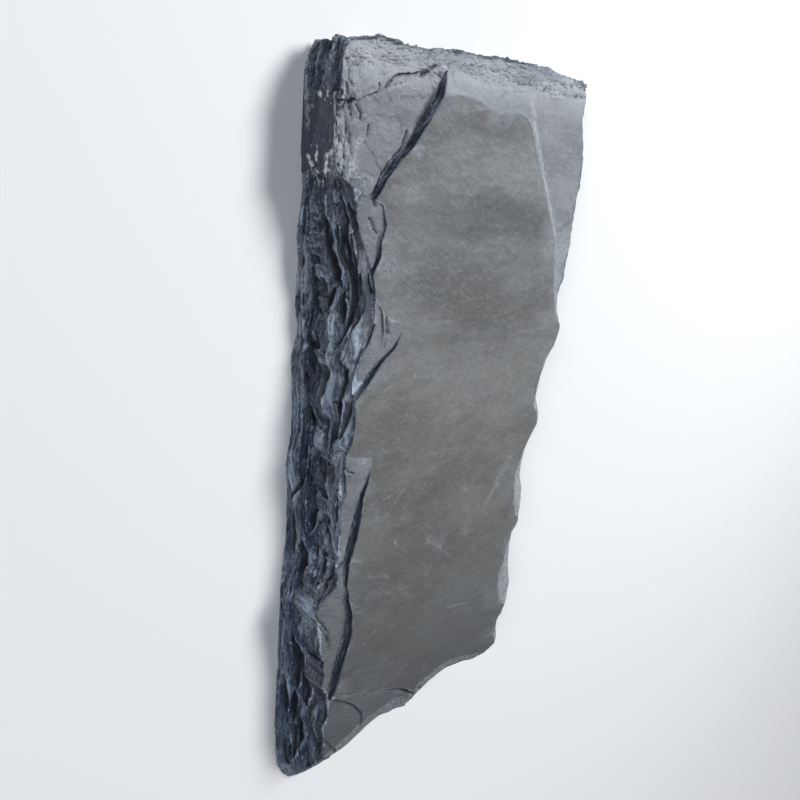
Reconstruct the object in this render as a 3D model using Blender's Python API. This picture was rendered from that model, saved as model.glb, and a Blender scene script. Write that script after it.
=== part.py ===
"""Bluestone flagstone: one riven slab of blue-grey stone lying on its back.

The slab is split along its bedding, so its face and its back are flat and its edges show the
layers. It is lofted from three outlines, one at the back, one half way up the edge and one at
the face. The layers step in and out of that loft, and the pieces that have flaked off its
edges are cut away one by one. Every length is in millimetres until a mesh is made. The origin
is at the middle of the bounding box, on the surface that the slab lies on, with +Y along the
slab and +Z out of its face.
"""

import math

import bmesh
import bpy
from mathutils import Vector, noise

MM = 0.001

# Driving dimensions.
HALF_WIDTH = 143.0
HALF_LENGTH = 306.0
THICKNESS = 45.0
MID_HEIGHT = 22.0  # height of the middle outline
RIM_HEIGHT = 40.0  # the edge is upright from here to the face
# The layers from the back up, together THICKNESS.
LAYERS = (7.0, 5.0, 5.0, 5.0, 4.0, 4.0, 3.5, 3.0, 3.0, 3.0, 2.5)
LAYER_GAP = 0.5  # height over which one layer steps to the next
ABOVE = 12.0  # how far a cutter rises over the face
SEED = 4.7

# How far each layer stands back from the outlines, and how much that wanders along the edge.
LEFT_SETBACK = (0.0, 2.5, 5.5, 3.5, 1.0, 1.5, 0.5, 1.2, 0.4, 1.0, 0.0)
OTHER_SETBACK = (0.0, 1.0, -1.0, 0.5, 1.5, 0.0, 1.0, 0.5, 1.2, 0.4, 0.0)
LEFT_WANDER = 3.2
OTHER_WANDER = 2.2
RIM_WANDER = 0.7
LEAST_WANDER = 0.3
WANDER_LENGTH = 26.0  # along the edge, from one bulge of a layer to the next
WANDER_BULGES = (1.7, 1.0, 0.5)  # the broad bulges: strength, fineness, change from layer to layer
WANDER_NICKS = (0.5, 2.7, 2.4)  # the small nicks, likewise
JOINT_FACE = (222.0, 268.0)  # stretch of the left edge that broke along one clean joint
JOINT_FADE = 10.0
CORNER_STATIONS = 4  # places over which the layers settle towards a corner
CORE_X = (-70.0, 70.0)  # the slab's core: its edges face away from this rectangle
CORE_Y = (-225.0, 235.0)

# The four sides, each at the back, half way up and at the face.
LEFT_BACK = (
    (-124, -302), (-131, -295), (-138, -282), (-141, -260), (-143, -225), (-143, -160),
    (-143, -95), (-140, -60), (-140, -25), (-143, 12), (-139, 30), (-140, 58), (-143, 90),
    (-138, 110), (-141, 130), (-142, 146), (-140, 158), (-143, 177), (-139, 208), (-142, 232),
    (-142, 277), (-140, 291), (-134, 300),
)  # fmt: skip
LEFT_MID = (
    (-113, -280), (-119, -252), (-126, -236), (-121, -227), (-119, -207), (-116, -188),
    (-117, -158), (-125, -125), (-129, -96), (-121, -72), (-120, -59), (-122, -36),
    (-124, -10), (-127, 15), (-127, 39), (-131, 52), (-134, 64), (-129, 71), (-127, 86),
    (-133, 97), (-134, 119), (-136, 149), (-138, 164), (-141, 189), (-142, 203), (-140, 215),
    (-142, 240), (-142, 267), (-139, 287), (-134, 301),
)  # fmt: skip
LEFT_RIM = (
    (-117, -257), (-124, -232), (-123, -220), (-117, -209), (-125, -191), (-122, -188),
    (-128, -174), (-127, -161), (-130, -144), (-134, -128), (-139, -112), (-138, -104),
    (-133, -96), (-124, -88), (-120, -79), (-121, -61), (-125, -43), (-124, -21), (-124, 7),
    (-124, 26), (-118, 33), (-116, 44), (-115, 56), (-118, 67), (-116, 78), (-114, 93),
    (-111, 100), (-107, 114), (-105, 128), (-106, 139), (-107, 149), (-112, 160),
    (-118, 170), (-121, 183), (-124, 196), (-129, 205), (-135, 217), (-142, 222),
    (-143, 240), (-143, 266), (-140, 272), (-139, 287), (-138, 297),
)  # fmt: skip
TOP_BACK = (
    (-134, 300), (-100, 303), (-60, 301), (-20, 304), (20, 302), (60, 304), (100, 301),
    (139, 299),
)  # fmt: skip
TOP_MID = (
    (-134, 301), (-100, 304), (-60, 303), (-20, 306), (20, 305), (60, 306), (100, 303),
    (136, 300),
)  # fmt: skip
TOP_RIM = (
    (-138, 297), (-134, 301), (-126, 304), (-109, 303), (-98, 304), (-69, 302), (-51, 304),
    (-26, 306), (0, 306), (23, 306), (35, 305), (60, 306), (73, 303), (94, 305), (110, 303),
    (122, 302), (134, 300),
)  # fmt: skip
RIGHT_BACK = (
    (139, 299), (143, 268), (143, 238), (140, 200), (139, 160), (131, 110), (127, 60),
    (120, 10), (119, -50), (116, -110), (118, -160), (113, -205), (110, -247),
)  # fmt: skip
RIGHT_MID = (
    (136, 300), (133, 278), (140, 240), (133, 205), (136, 165), (127, 120), (123, 92),
    (116, 40), (116, -10), (112, -60), (109, -100), (114, -130), (113, -175), (103, -205),
    (103, -240),
)  # fmt: skip
RIGHT_RIM = (
    (134, 300), (129, 292), (125, 279), (128, 265), (131, 253), (133, 243), (138, 238),
    (134, 231), (131, 222), (129, 213), (125, 198), (129, 183), (132, 167), (129, 158),
    (124, 147), (120, 133), (118, 115), (120, 99), (117, 87), (112, 71), (107, 53), (106, 32),
    (107, 17), (111, -9), (105, -30), (106, -49), (108, -70), (104, -89), (101, -101),
    (107, -119), (111, -130), (106, -143), (108, -166), (108, -180), (97, -190), (95, -201),
    (98, -227),
)  # fmt: skip
BOTTOM_BACK = (
    (110, -247), (70, -258), (20, -270), (-30, -285), (-80, -301), (-98, -307), (-112, -307),
    (-124, -302),
)  # fmt: skip
BOTTOM_MID = (
    (103, -240), (60, -246), (20, -256), (-20, -262), (-60, -272), (-90, -279), (-113, -280),
)  # fmt: skip
BOTTOM_RIM = (
    (98, -227), (75, -236), (53, -236), (48, -231), (31, -232), (18, -236), (5, -240),
    (-6, -243), (-15, -244), (-23, -248), (-39, -247), (-58, -246), (-75, -252), (-86, -257),
    (-97, -259), (-108, -258), (-117, -257),
)  # fmt: skip

# Each side: its outlines from the back up, how many stretches it has, its layers' setback and
# how much they wander.
SIDES = (
    (LEFT_BACK, LEFT_MID, LEFT_RIM, 72, LEFT_SETBACK, LEFT_WANDER),
    (TOP_BACK, TOP_MID, TOP_RIM, 26, OTHER_SETBACK, OTHER_WANDER),
    (RIGHT_BACK, RIGHT_MID, RIGHT_RIM, 44, OTHER_SETBACK, OTHER_WANDER),
    (BOTTOM_BACK, BOTTOM_MID, BOTTOM_RIM, 26, OTHER_SETBACK, OTHER_WANDER),
)

# Flakes lost from the face. Each has the broken step that it left and the corners that close
# its outline outside the slab, as (x, y, depth of its floor under the face). A depth under 0
# is where the flake feathers out and left no step.
FLAKES = {
    "corner_spall": (
        ((-64, 293, 7.4), (-56, 292, 7.0), (-53, 290, 7.0), (-58, 280, 7.6), (-62, 271, 8.0),
         (-70, 259, 8.0), (-78, 249, 7.6), (-85, 239, 7.0), (-94, 232, 6.6), (-101, 224, 6.0),
         (-106, 218, 5.4), (-110, 210, 4.4), (-114, 205, 3.2)),
        ((-129, 213, 4.8), (-160, 222, 8.5), (-160, 262, 10.0), (-129, 266, 8.6),
         (-112, 272, 8.2), (-97, 283, 8.0), (-78, 286, 7.8)),
    ),
    "flake_below_spall": (
        ((-118, 209, 0.6), (-113, 205, 0.8), (-106, 203, 1.2), (-104, 196, 2.0),
         (-102, 189, 2.6), (-105, 179, 3.6), (-105, 169, 4.0), (-109, 159, 3.4),
         (-113, 150, 1.6)),
        ((-160, 150, 7.0), (-160, 200, 8.0), (-160, 226, 6.0)),
    ),
    "pointed_flake": (
        ((-112, 140, 0.4), (-104, 137, -0.4), (-97, 132, -0.4), (-86, 126, -0.3),
         (-78, 118, 0.3), (-78, 111, 1.3), (-84, 102, 2.6), (-93, 95, 3.6), (-101, 86, 4.2),
         (-109, 76, 4.4), (-117, 68, 4.0)),
        ((-160, 66, 9.0), (-160, 100, 10.0), (-160, 138, 5.0)),
    ),
    "pointed_flake_inner": (
        ((-105, 139, 0.6), (-99, 131, 1.3), (-96, 120, 2.6), (-94, 109, 3.4), (-95, 98, 3.5),
         (-103, 88, 3.2), (-118, 82, 3.4)),
        ((-160, 84, 7.0), (-160, 142, 7.0)),
    ),
    "middle_flake": (
        ((-130, 33, -0.4), (-119, 28, -0.4), (-107, 24, -0.3), (-97, 18, 0.2), (-97, 9, 1.3),
         (-100, -3, 2.8), (-103, -12, 3.8), (-104, -31, 5.2), (-106, -43, 5.6),
         (-109, -55, 5.4), (-112, -67, 4.6), (-112, -80, 3.2), (-113, -92, 2.0)),
        ((-160, -94, 6.0), (-160, -30, 12.0), (-160, 33, 6.0)),
    ),
    "middle_flake_inner": (
        ((-128, 22, 3.4), (-120, 8, 5.4), (-117, -6, 6.8), (-120, -18, 8.4), (-118, -36, 9.2),
         (-120, -64, 9.6)),
        ((-160, -68, 14.0), (-160, 26, 10.0)),
    ),
    "lower_flake": (
        ((-116, -80, 0.4), (-111, -88, 1.6), (-109, -101, 3.8), (-105, -114, 4.8),
         (-104, -131, 5.8), (-106, -143, 6.2), (-110, -156, 6.4), (-113, -169, 6.2),
         (-116, -182, 5.6), (-120, -192, 5.2)),
        ((-160, -194, 11.0), (-160, -130, 13.5), (-160, -78, 8.0)),
    ),
    "lower_flake_inner": (
        ((-138, -110, 10.0), (-131, -119, 10.2), (-124, -128, 10.0), (-119, -138, 9.4),
         (-119, -147, 8.6), (-122, -158, 7.0)),
        ((-160, -160, 11.0), (-160, -108, 14.0)),
    ),
    "bottom_chip": (
        ((-122, -185, 1.4), (-113, -190, 0.9), (-105, -193, 0.9), (-88, -201, 1.1),
         (-64, -208, 1.4), (-46, -216, 2.2), (-33, -223, 2.8), (-20, -235, 2.6),
         (-12, -243, 1.6)),
        ((-6, -330, 6.0), (-80, -330, 8.0), (-160, -330, 9.0), (-160, -188, 7.0)),
    ),
    "bottom_chip_inner": (
        ((-124, -189, 3.6), (-112, -195, 3.5), (-102, -202, 3.5), (-91, -212, 3.7),
         (-82, -225, 4.2), (-80, -233, 4.4), (-79, -264, 5.0)),
        ((-78, -330, 9.0), (-160, -330, 10.0), (-160, -192, 8.0)),
    ),
    "tip_chip": (
        ((-128, -214, 7.0), (-125, -219, 7.0), (-119, -234, 7.2), (-110, -248, 7.8),
         (-104, -256, 8.2), (-98, -276, 9.4)),
        ((-96, -330, 14.0), (-160, -330, 16.0), (-160, -216, 12.0)),
    ),
}  # fmt: skip
STEP_LEAN = 4.0  # how far a flake's broken step leans back over its whole height

# Edges lost in long strips. Each is a run of rows, from above the face to outside the slab.
CORNER_SLOPE = (
    ((-160, 250, 43.0), (-130, 254, 43.0), (-108, 262, 43.0), (-94, 272, 43.0),
     (-76, 277, 43.0), (-60, 281, 44.0), (-50, 284, 44.0)),
    ((-160, 272, 36.5), (-130, 270, 38.6), (-112, 276, 39.0), (-97, 286, 39.2),
     (-78, 289, 39.6), (-62, 293, 39.8), (-50, 294, 40.0)),
    ((-160, 300, 30.0), (-134, 303, 29.0), (-110, 306, 28.5), (-94, 307, 29.0),
     (-78, 307, 29.5), (-62, 308, 30.0), (-48, 309, 30.0)),
    ((-166, 330, 16.0), (-138, 330, 16.0), (-110, 330, 16.0), (-94, 330, 16.0),
     (-78, 330, 17.0), (-62, 330, 18.0), (-44, 330, 18.0)),
)  # fmt: skip
TOP_SLOPE = (
    ((-66, 268, 48.0), (-52, 265, 48.0), (-38, 267, 48.0), (-24, 266, 48.0),
     (-12, 259, 48.0), (4, 257, 48.0), (18, 258, 48.0), (34, 262, 48.0), (60, 276, 48.0),
     (100, 282, 42.0), (150, 284, 36.0)),
    ((-64, 289, 40.5), (-52, 290, 40.0), (-38, 290, 40.0), (-24, 289, 39.5),
     (-12, 287, 38.5), (4, 287, 38.0), (18, 289, 38.0), (34, 292, 38.0), (60, 293, 38.0),
     (100, 295, 32.5), (150, 295, 28.0)),
    ((-60, 307, 29.0), (-52, 308, 28.0), (-38, 308, 27.5), (-24, 309, 27.5),
     (-12, 309, 27.0), (4, 309, 27.0), (18, 309, 27.0), (34, 308, 27.0), (60, 308, 27.0),
     (100, 307, 24.0), (150, 306, 20.0)),
    ((-56, 330, 15.0), (-48, 330, 15.0), (-38, 330, 15.0), (-24, 330, 15.0),
     (-12, 330, 15.0), (4, 330, 15.0), (18, 330, 15.0), (34, 330, 15.0), (60, 330, 15.0),
     (100, 330, 12.0), (150, 330, 8.0)),
)  # fmt: skip
FACET_BORDER = (
    (20, 304), (31, 281), (37, 266), (43, 254), (50, 240), (58, 227), (65, 214), (74, 200),
    (82, 188), (90, 175), (97, 163), (103, 153), (107, 141), (112, 128),
)  # fmt: skip
FACET_ACROSS = Vector((0.861, 0.509))  # plan direction in which the corner facet falls
FACET_FALL = math.tan(math.radians(12.0))
FACET_REACH = (-12.0, 30.0, 75.0, 140.0)  # rows of the facet, measured from its border
FACET_DISH = 0.9  # the facet is this much hollow between its border and its far side

# The right edge and the bottom edge: (place along the edge, width of the bevel on it).
RIGHT_BEVEL = (
    (138, 11), (125, 12), (112, 9), (99, 3), (87, 2), (70, 5), (50, 9), (31, 9), (12, 3),
    (0, 7), (-16, 17), (-36, 18), (-48, 18), (-60, 11), (-80, 4), (-95, 6), (-110, 22),
    (-124, 25), (-140, 15), (-165, 4), (-183, 3), (-205, 6), (-232, 4),
)  # fmt: skip
BOTTOM_BEVEL = (
    (-128, 9), (-108, 8), (-97, 11), (-82, 13), (-70, 18), (-55, 14), (-38, 9), (-20, 7),
    (-5, 9), (8, 10), (22, 8), (38, 6), (50, 3), (62, 2), (80, 3), (102, 3),
)  # fmt: skip
BEVEL_FALL = math.tan(math.radians(20.0))
BEVEL_RUN_IN = 8.0  # a bevel's strip starts this far inside its border, above the face
BEVEL_RUN_OUT = 40.0


def clear_scene():
    for item in list(bpy.data.objects):
        bpy.data.objects.remove(item, do_unlink=True)


def collection(name):
    group = bpy.data.collections.new(name)
    bpy.context.scene.collection.children.link(group)
    return group


def bluestone():
    """The slab's own material: fine-grained blue-grey stone, dull and dry."""
    material = bpy.data.materials.new("bluestone")
    material.use_nodes = True
    shader = material.node_tree.nodes["Principled BSDF"]
    shader.inputs["Base Color"].default_value = (0.17, 0.18, 0.19, 1.0)
    shader.inputs["Roughness"].default_value = 0.75
    shader.inputs["Metallic"].default_value = 0.0
    return material


def along(points, count):
    """Points at equal steps along a broken line, its first one included and its last left out."""
    points = [Vector(point) for point in points]
    lengths = [(b - a).length for a, b in zip(points, points[1:])]
    total = sum(lengths)
    found = []
    for step in range(count):
        rest = total * step / count
        for start, end, length in zip(points, points[1:], lengths):
            if rest <= length:
                found.append(start.lerp(end, rest / length))
                break
            rest -= length
    return found


def held(value, low, high):
    """The value, or the limit that it passes."""
    return max(low, min(high, value))


def outward(point):
    """Plan direction from the slab's core out through this point."""
    core = Vector((held(point.x, *CORE_X), held(point.y, *CORE_Y)))
    return (point - core).normalized()


def between(low, mid, rim, height):
    """Where the edge stands at this height."""
    if height <= MID_HEIGHT:
        return low.lerp(mid, height / MID_HEIGHT)
    share = min(1.0, (height - MID_HEIGHT) / (RIM_HEIGHT - MID_HEIGHT))
    return mid.lerp(rim, share)


def wander(place, layer):
    """How far a layer bulges at this place along the edge, from about -1 to 1."""
    bulge = 0.0
    for strength, fineness, change in (WANDER_BULGES, WANDER_NICKS):
        at = Vector((place * fineness / WANDER_LENGTH, layer * change, SEED * fineness))
        bulge += strength * noise.noise(at)
    return bulge


def fade(distance, over):
    """0 at a distance of 0 or less, rising to 1 at the distance over."""
    return held(distance / over, 0.0, 1.0)


def calmness(point, number, count):
    """How freely the layers move here: 0 at a corner and on the joint face, otherwise 1."""
    free = fade(min(number, count - number), CORNER_STATIONS)
    if point.x < 0:
        free *= fade(max(JOINT_FACE[0] - point.y, point.y - JOINT_FACE[1]), JOINT_FADE)
    return free


def stations():
    """Every place round the edge: its three outline points, its setbacks and its wander."""
    found = []
    for low, mid, rim, count, setback, swing in SIDES:
        trios = zip(along(low, count), along(mid, count), along(rim, count))
        for number, trio in enumerate(trios):
            free = calmness(trio[0], number, count)
            steps = tuple(free * depth for depth in setback)
            found.append((trio, steps, max(LEAST_WANDER, free * swing)))
    return found


def ring(places, height, layer):
    """The slab's outline at one height, as plan points."""
    outline = []
    run = 0.0
    last = places[-1][0][0]
    for (low, mid, rim), setback, swing in places:
        run += (low - last).length
        last = low
        at_rim = layer == len(LAYERS) - 1 or layer == 0
        size = RIM_WANDER if at_rim else swing
        point = between(low, mid, rim, height)
        point = point + outward(point) * (size * wander(run, layer) - setback[layer])
        across = held(point.x, -HALF_WIDTH, HALF_WIDTH)
        outline.append(Vector((across, held(point.y, -HALF_LENGTH, HALF_LENGTH))))
    return outline


def layered_block():
    """The slab before its flakes were lost: a stack of layers between its back and its face."""
    places = stations()
    shape = bmesh.new()
    first = ring(places, 0.0, 0)
    corners = [shape.verts.new((point.x * MM, point.y * MM, 0.0)) for point in first]
    edges = [shape.edges.new(pair) for pair in zip(corners, corners[1:] + corners[:1])]
    bmesh.ops.contextual_create(shape, geom=edges)
    floor = 0.0
    for layer, thickness in enumerate(LAYERS):
        top = floor + thickness
        heights = [floor + LAYER_GAP, top] if layer else [top]
        for height in heights:
            made = bmesh.ops.extrude_edge_only(shape, edges=edges)["geom"]
            edges = [item for item in made if isinstance(item, bmesh.types.BMEdge)]
            corners = follow(made, corners)
            edges = [shape.edges.get(pair) for pair in zip(corners, corners[1:] + corners[:1])]
            for corner, point in zip(corners, ring(places, height, layer)):
                corner.co = (point.x * MM, point.y * MM, height * MM)
        floor = top
    bmesh.ops.contextual_create(shape, geom=edges)
    return shape


def follow(made, corners):
    """The new corners of an extruded ring, in the order of the corners they came from."""
    fresh = {item for item in made if isinstance(item, bmesh.types.BMVert)}
    found = []
    for corner in corners:
        joined = [edge.other_vert(corner) for edge in corner.link_edges]
        found.append(next(other for other in joined if other in fresh))
    return found


def add_object(name, shape, group):
    bmesh.ops.recalc_face_normals(shape, faces=shape.faces)
    mesh = bpy.data.meshes.new(name)
    shape.to_mesh(mesh)
    shape.free()
    item = bpy.data.objects.new(name, mesh)
    group.objects.link(item)
    return item


def hide_cutter(cutter):
    cutter.hide_render = True
    cutter.display_type = "WIRE"
    return cutter


def flake_cutter(name, step, outside, group):
    """A flake: its outline raised from its uneven floor through the face."""
    shape = bmesh.new()
    floor = [(x * MM, y * MM, (THICKNESS - depth) * MM) for x, y, depth in step + outside]
    corners = [shape.verts.new(point) for point in floor]
    edges = [shape.edges.new(pair) for pair in zip(corners, corners[1:] + corners[:1])]
    base = bmesh.ops.contextual_create(shape, geom=edges)["faces"]
    raised = bmesh.ops.extrude_face_region(shape, geom=base, use_keep_orig=True)["geom"]
    for corner in (item for item in raised if isinstance(item, bmesh.types.BMVert)):
        corner.co.x += STEP_LEAN * MM
        corner.co.z = (THICKNESS + ABOVE) * MM
    bmesh.ops.triangulate(shape, faces=shape.faces)
    return hide_cutter(add_object(name, shape, group))


def strip_cutter(name, rows, group):
    """A lost edge: a strip of rows, and everything above it."""
    across = len(rows[0])
    shape = bmesh.new()
    bmesh.ops.create_grid(shape, x_segments=across - 1, y_segments=len(rows) - 1, size=1.0)
    shape.verts.ensure_lookup_table()
    for number, point in enumerate(point for row in rows for point in row):
        shape.verts[number].co = Vector(point) * MM
    strip = bmesh.ops.extrude_face_region(shape, geom=shape.faces[:], use_keep_orig=True)["geom"]
    for corner in (item for item in strip if isinstance(item, bmesh.types.BMVert)):
        corner.co.z = (THICKNESS + ABOVE) * MM
    bmesh.ops.triangulate(shape, faces=shape.faces)
    return hide_cutter(add_object(name, shape, group))


def facet_rows():
    """The large plane lost from the top right corner, falling outward from its border."""
    rows = []
    for reach in FACET_REACH:
        dish = FACET_DISH if 0.0 < reach < FACET_REACH[-1] else 0.0
        height = THICKNESS - reach * FACET_FALL - dish
        row = [Vector(point) + FACET_ACROSS * reach for point in FACET_BORDER]
        rows.append([(point.x, point.y, height) for point in row])
    return rows


def bevel_rows(rim, widths, pick, out):
    """A bevel along one edge. pick is the axis that runs along it, out the way off the slab."""
    rows = [[], [], []]
    for place, width in widths:
        near = min(zip(rim, rim[1:]), key=lambda pair: stretch_miss(pair, pick, place))
        share = (place - near[0][pick]) / ((near[1][pick] - near[0][pick]) or 1.0)
        edge = Vector(near[0]).lerp(Vector(near[1]), max(0.0, min(1.0, share)))
        for row, reach in zip(rows, (-width - BEVEL_RUN_IN, 0.0, BEVEL_RUN_OUT)):
            point = [place, place, THICKNESS - (reach + width) * BEVEL_FALL]
            point[1 - pick] = edge[1 - pick] + out * reach
            row.append(tuple(point))
    return rows


def stretch_miss(pair, pick, place):
    """How far a place lies outside one stretch of the rim, and 0 inside it."""
    low, high = sorted((pair[0][pick], pair[1][pick]))
    return max(low - place, place - high, 0.0)


def cut(slab, cutter):
    boolean = slab.modifiers.new(cutter.name, "BOOLEAN")
    boolean.operation = "DIFFERENCE"
    boolean.solver = "EXACT"
    boolean.object = cutter


def main():
    clear_scene()
    parts = collection("bluestone_flagstone")
    cutters = collection("lost_pieces")
    slab = add_object("flagstone", layered_block(), parts)
    slab.data.materials.append(bluestone())
    for name, (step, outside) in FLAKES.items():
        cut(slab, flake_cutter(name, step, outside, cutters))
    strips = {
        "top_slope": TOP_SLOPE,
        "corner_slope": CORNER_SLOPE,
        "corner_facet": facet_rows(),
        "right_bevel": bevel_rows(RIGHT_RIM, RIGHT_BEVEL, 1, 1.0),
        "bottom_bevel": bevel_rows(BOTTOM_RIM, BOTTOM_BEVEL, 0, -1.0),
    }
    for name, rows in strips.items():
        cut(slab, strip_cutter(name, rows, cutters))


main()
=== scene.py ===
"""Bluestone flagstone: the finish of one riven slab, lying face up in plain soft light.

The slab's own solid is copied and remeshed finely. Its edges are then broken into pillows,
seams, laminae and grit. Thin flakes are taken off its rims, cracks are opened where flakes have
begun to lift, and the face gets the slow waves of a split surface. Shapes are worked out in
millimetres and written to the mesh in metres.
"""

from __future__ import annotations

import functools
import itertools
import logging
import math
from dataclasses import astuple, dataclass
from enum import Enum

import bmesh
import bpy
import numpy as np
from mathutils import Matrix, Vector

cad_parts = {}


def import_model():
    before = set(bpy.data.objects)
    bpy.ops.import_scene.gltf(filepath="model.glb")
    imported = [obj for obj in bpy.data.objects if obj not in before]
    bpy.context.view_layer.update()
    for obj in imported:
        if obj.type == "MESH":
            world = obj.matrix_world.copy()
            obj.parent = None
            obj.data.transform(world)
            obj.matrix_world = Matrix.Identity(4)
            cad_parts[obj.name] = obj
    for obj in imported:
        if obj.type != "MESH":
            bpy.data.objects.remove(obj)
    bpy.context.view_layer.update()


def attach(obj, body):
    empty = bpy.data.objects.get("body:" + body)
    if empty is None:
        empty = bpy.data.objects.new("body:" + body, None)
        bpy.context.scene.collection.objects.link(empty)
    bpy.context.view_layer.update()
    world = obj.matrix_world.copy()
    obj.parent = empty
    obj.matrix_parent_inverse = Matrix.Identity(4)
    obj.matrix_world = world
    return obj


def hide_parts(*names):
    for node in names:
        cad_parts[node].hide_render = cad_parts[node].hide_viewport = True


MM = 0.001
BED_SPAN = 80.0
SEAM_SPAN = 10.0
LAYER = 3.6
NODE = "flagstone"
LOG = logging.getLogger("bluestone_flagstone")

Array = np.ndarray
Socket = bpy.types.NodeSocket
Point = tuple[float, float]
Place = tuple[float, float, float]
Colour = tuple[float, float, float]

EVEN: Place = (1.0, 1.0, 1.0)
ACROSS = np.array([1.0, 0.0, 0.0], np.float32)
ALONG = np.array([0.0, 1.0, 0.0], np.float32)
UP = np.array([0.0, 0.0, 1.0], np.float32)


class Mark(Enum):
    """What the slab's mesh says about each of its points, from 0 to 1."""

    WALL = "wall"
    SCAR = "scar"
    JOINT = "joint"
    CRUSH = "crush"
    RIDGE = "ridge"
    HOLLOW = "hollow"
    GROOVE = "groove"
    RISER = "riser"
    LEDGE = "ledge"
    BED = "bed"
    LIGHT_AND_SHADE = "tone"
    NEAR = "near_seam"
    SEAM = "below_seam"


def rise(values: Array, low: float, high: float) -> Array:
    """A smooth step from 0 at low to 1 at high, which lies below low for a step down."""
    share = np.clip((values - low) / (high - low), 0.0, 1.0)
    return share * share * (3.0 - 2.0 * share)


def within(values: Array, low: float, high: float, soft: float) -> Array:
    """1 between two limits, falling to 0 over a soft border outside them."""
    return rise(values, low - soft, low) * rise(values, high + soft, high)


def unit(vectors: Array) -> Array:
    """Each row at a length of 1."""
    return vectors / np.maximum(np.linalg.norm(vectors, axis=1, keepdims=True), 1e-9)


def folds(noise: Array, power: float) -> Array:
    """Noise turned into rounded lumps with creases between them, from 0 to 1."""
    return np.minimum(np.abs(noise) * 2.4, 1.0) ** power


def terraces(noise: Array, count: float, slope: float) -> Array:
    """Noise turned into flat steps.

    Args:
        noise: The noise.
        count: Steps for each unit of it.
        slope: Share of a step that its riser takes.

    Returns:
        Heights in steps.
    """
    level = noise * count
    base = np.floor(level)
    return base + rise(level - base, 1.0 - slope, 1.0)


class Lattice:
    """Random numbers at the corners of an endless grid, the same in each run."""

    CELLS = 256

    def __init__(self, seed: int) -> None:
        """Draws the order of the grid's corners.

        Args:
            seed: Which grid it is.
        """
        self.draws = np.random.default_rng(seed)
        order = self.draws.permutation(self.CELLS)
        self.order = np.concatenate([order, order]).astype(np.int32)

    def index(self, cell: Array) -> Array:
        """Which of the random numbers belongs to each corner.

        Args:
            cell: One row of three whole numbers for each corner.

        Returns:
            One whole number for each corner.
        """
        index = np.zeros(len(cell), np.int32)
        for axis in range(3):
            index = self.order[index + (cell[:, axis] & (self.CELLS - 1))]
        return index


class Grain(Lattice):
    """Smooth noise over arrays of points, from about -1 to 1."""

    REACH = 1.5

    def __init__(self, seed: int) -> None:
        """Draws the noise's slopes."""
        super().__init__(seed)
        self.slopes = unit(self.draws.normal(size=(self.CELLS, 3))).astype(np.float32)

    def at(self, points: Array, *sizes: float) -> Array:
        """The noise at each point.

        Args:
            points: One row for each point, in millimetres.
            sizes: How large a lump is along each axis, or once for all of them.

        Returns:
            One number for each point.
        """
        scaled = (points / np.array(sizes, np.float32)).astype(np.float32)
        cell = np.floor(scaled)
        share = scaled - cell
        ease = share**3 * (share * (share * 6.0 - 15.0) + 10.0)
        total = np.zeros(len(points), np.float32)
        for corner in itertools.product((0, 1), repeat=3):
            slopes = self.slopes[self.index(cell.astype(np.int32) + np.array(corner, np.int32))]
            weight = np.ones(len(points), np.float32)
            for axis, step in enumerate(corner):
                weight *= ease[:, axis] if step else 1.0 - ease[:, axis]
            total += weight * ((share - np.array(corner, np.float32)) * slopes).sum(axis=1)
        return total * self.REACH


class Lumps(Lattice):
    """Stone broken into long lumps that fit together."""

    def __init__(self, seed: int) -> None:
        """Draws where the lumps are.

        Args:
            seed: Which set of lumps it is.
        """
        super().__init__(seed)
        self.middles = self.draws.random((self.CELLS, 3)).astype(np.float32)
        self.tones = self.draws.uniform(-1.0, 1.0, self.CELLS).astype(np.float32)

    def at(self, points: Array, *sizes: float) -> tuple[Array, Array]:
        """Which lump each point is in.

        Args:
            points: One row for each point, in millimetres.
            sizes: A lump's size along each axis.

        Returns:
            How far each point is from its lump's border, from 0, as a share of the lump's size,
            and a number from -1 to 1 for the lump.
        """
        scaled = (points / np.array(sizes, np.float32)).astype(np.float32)
        base = np.floor(scaled).astype(np.int32)
        near = np.full(len(points), np.inf, np.float32)
        second = near.copy()
        tone = np.zeros(len(points), np.float32)
        for shift in itertools.product((-1, 0, 1), repeat=3):
            cell = base + np.array(shift, np.int32)
            index = self.index(cell)
            distance = np.linalg.norm(scaled - cell - self.middles[index], axis=1)
            closer = distance < near
            second = np.where(closer, near, np.minimum(second, distance))
            tone = np.where(closer, self.tones[index], tone)
            near = np.where(closer, distance, near)
        return second - near, tone


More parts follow.
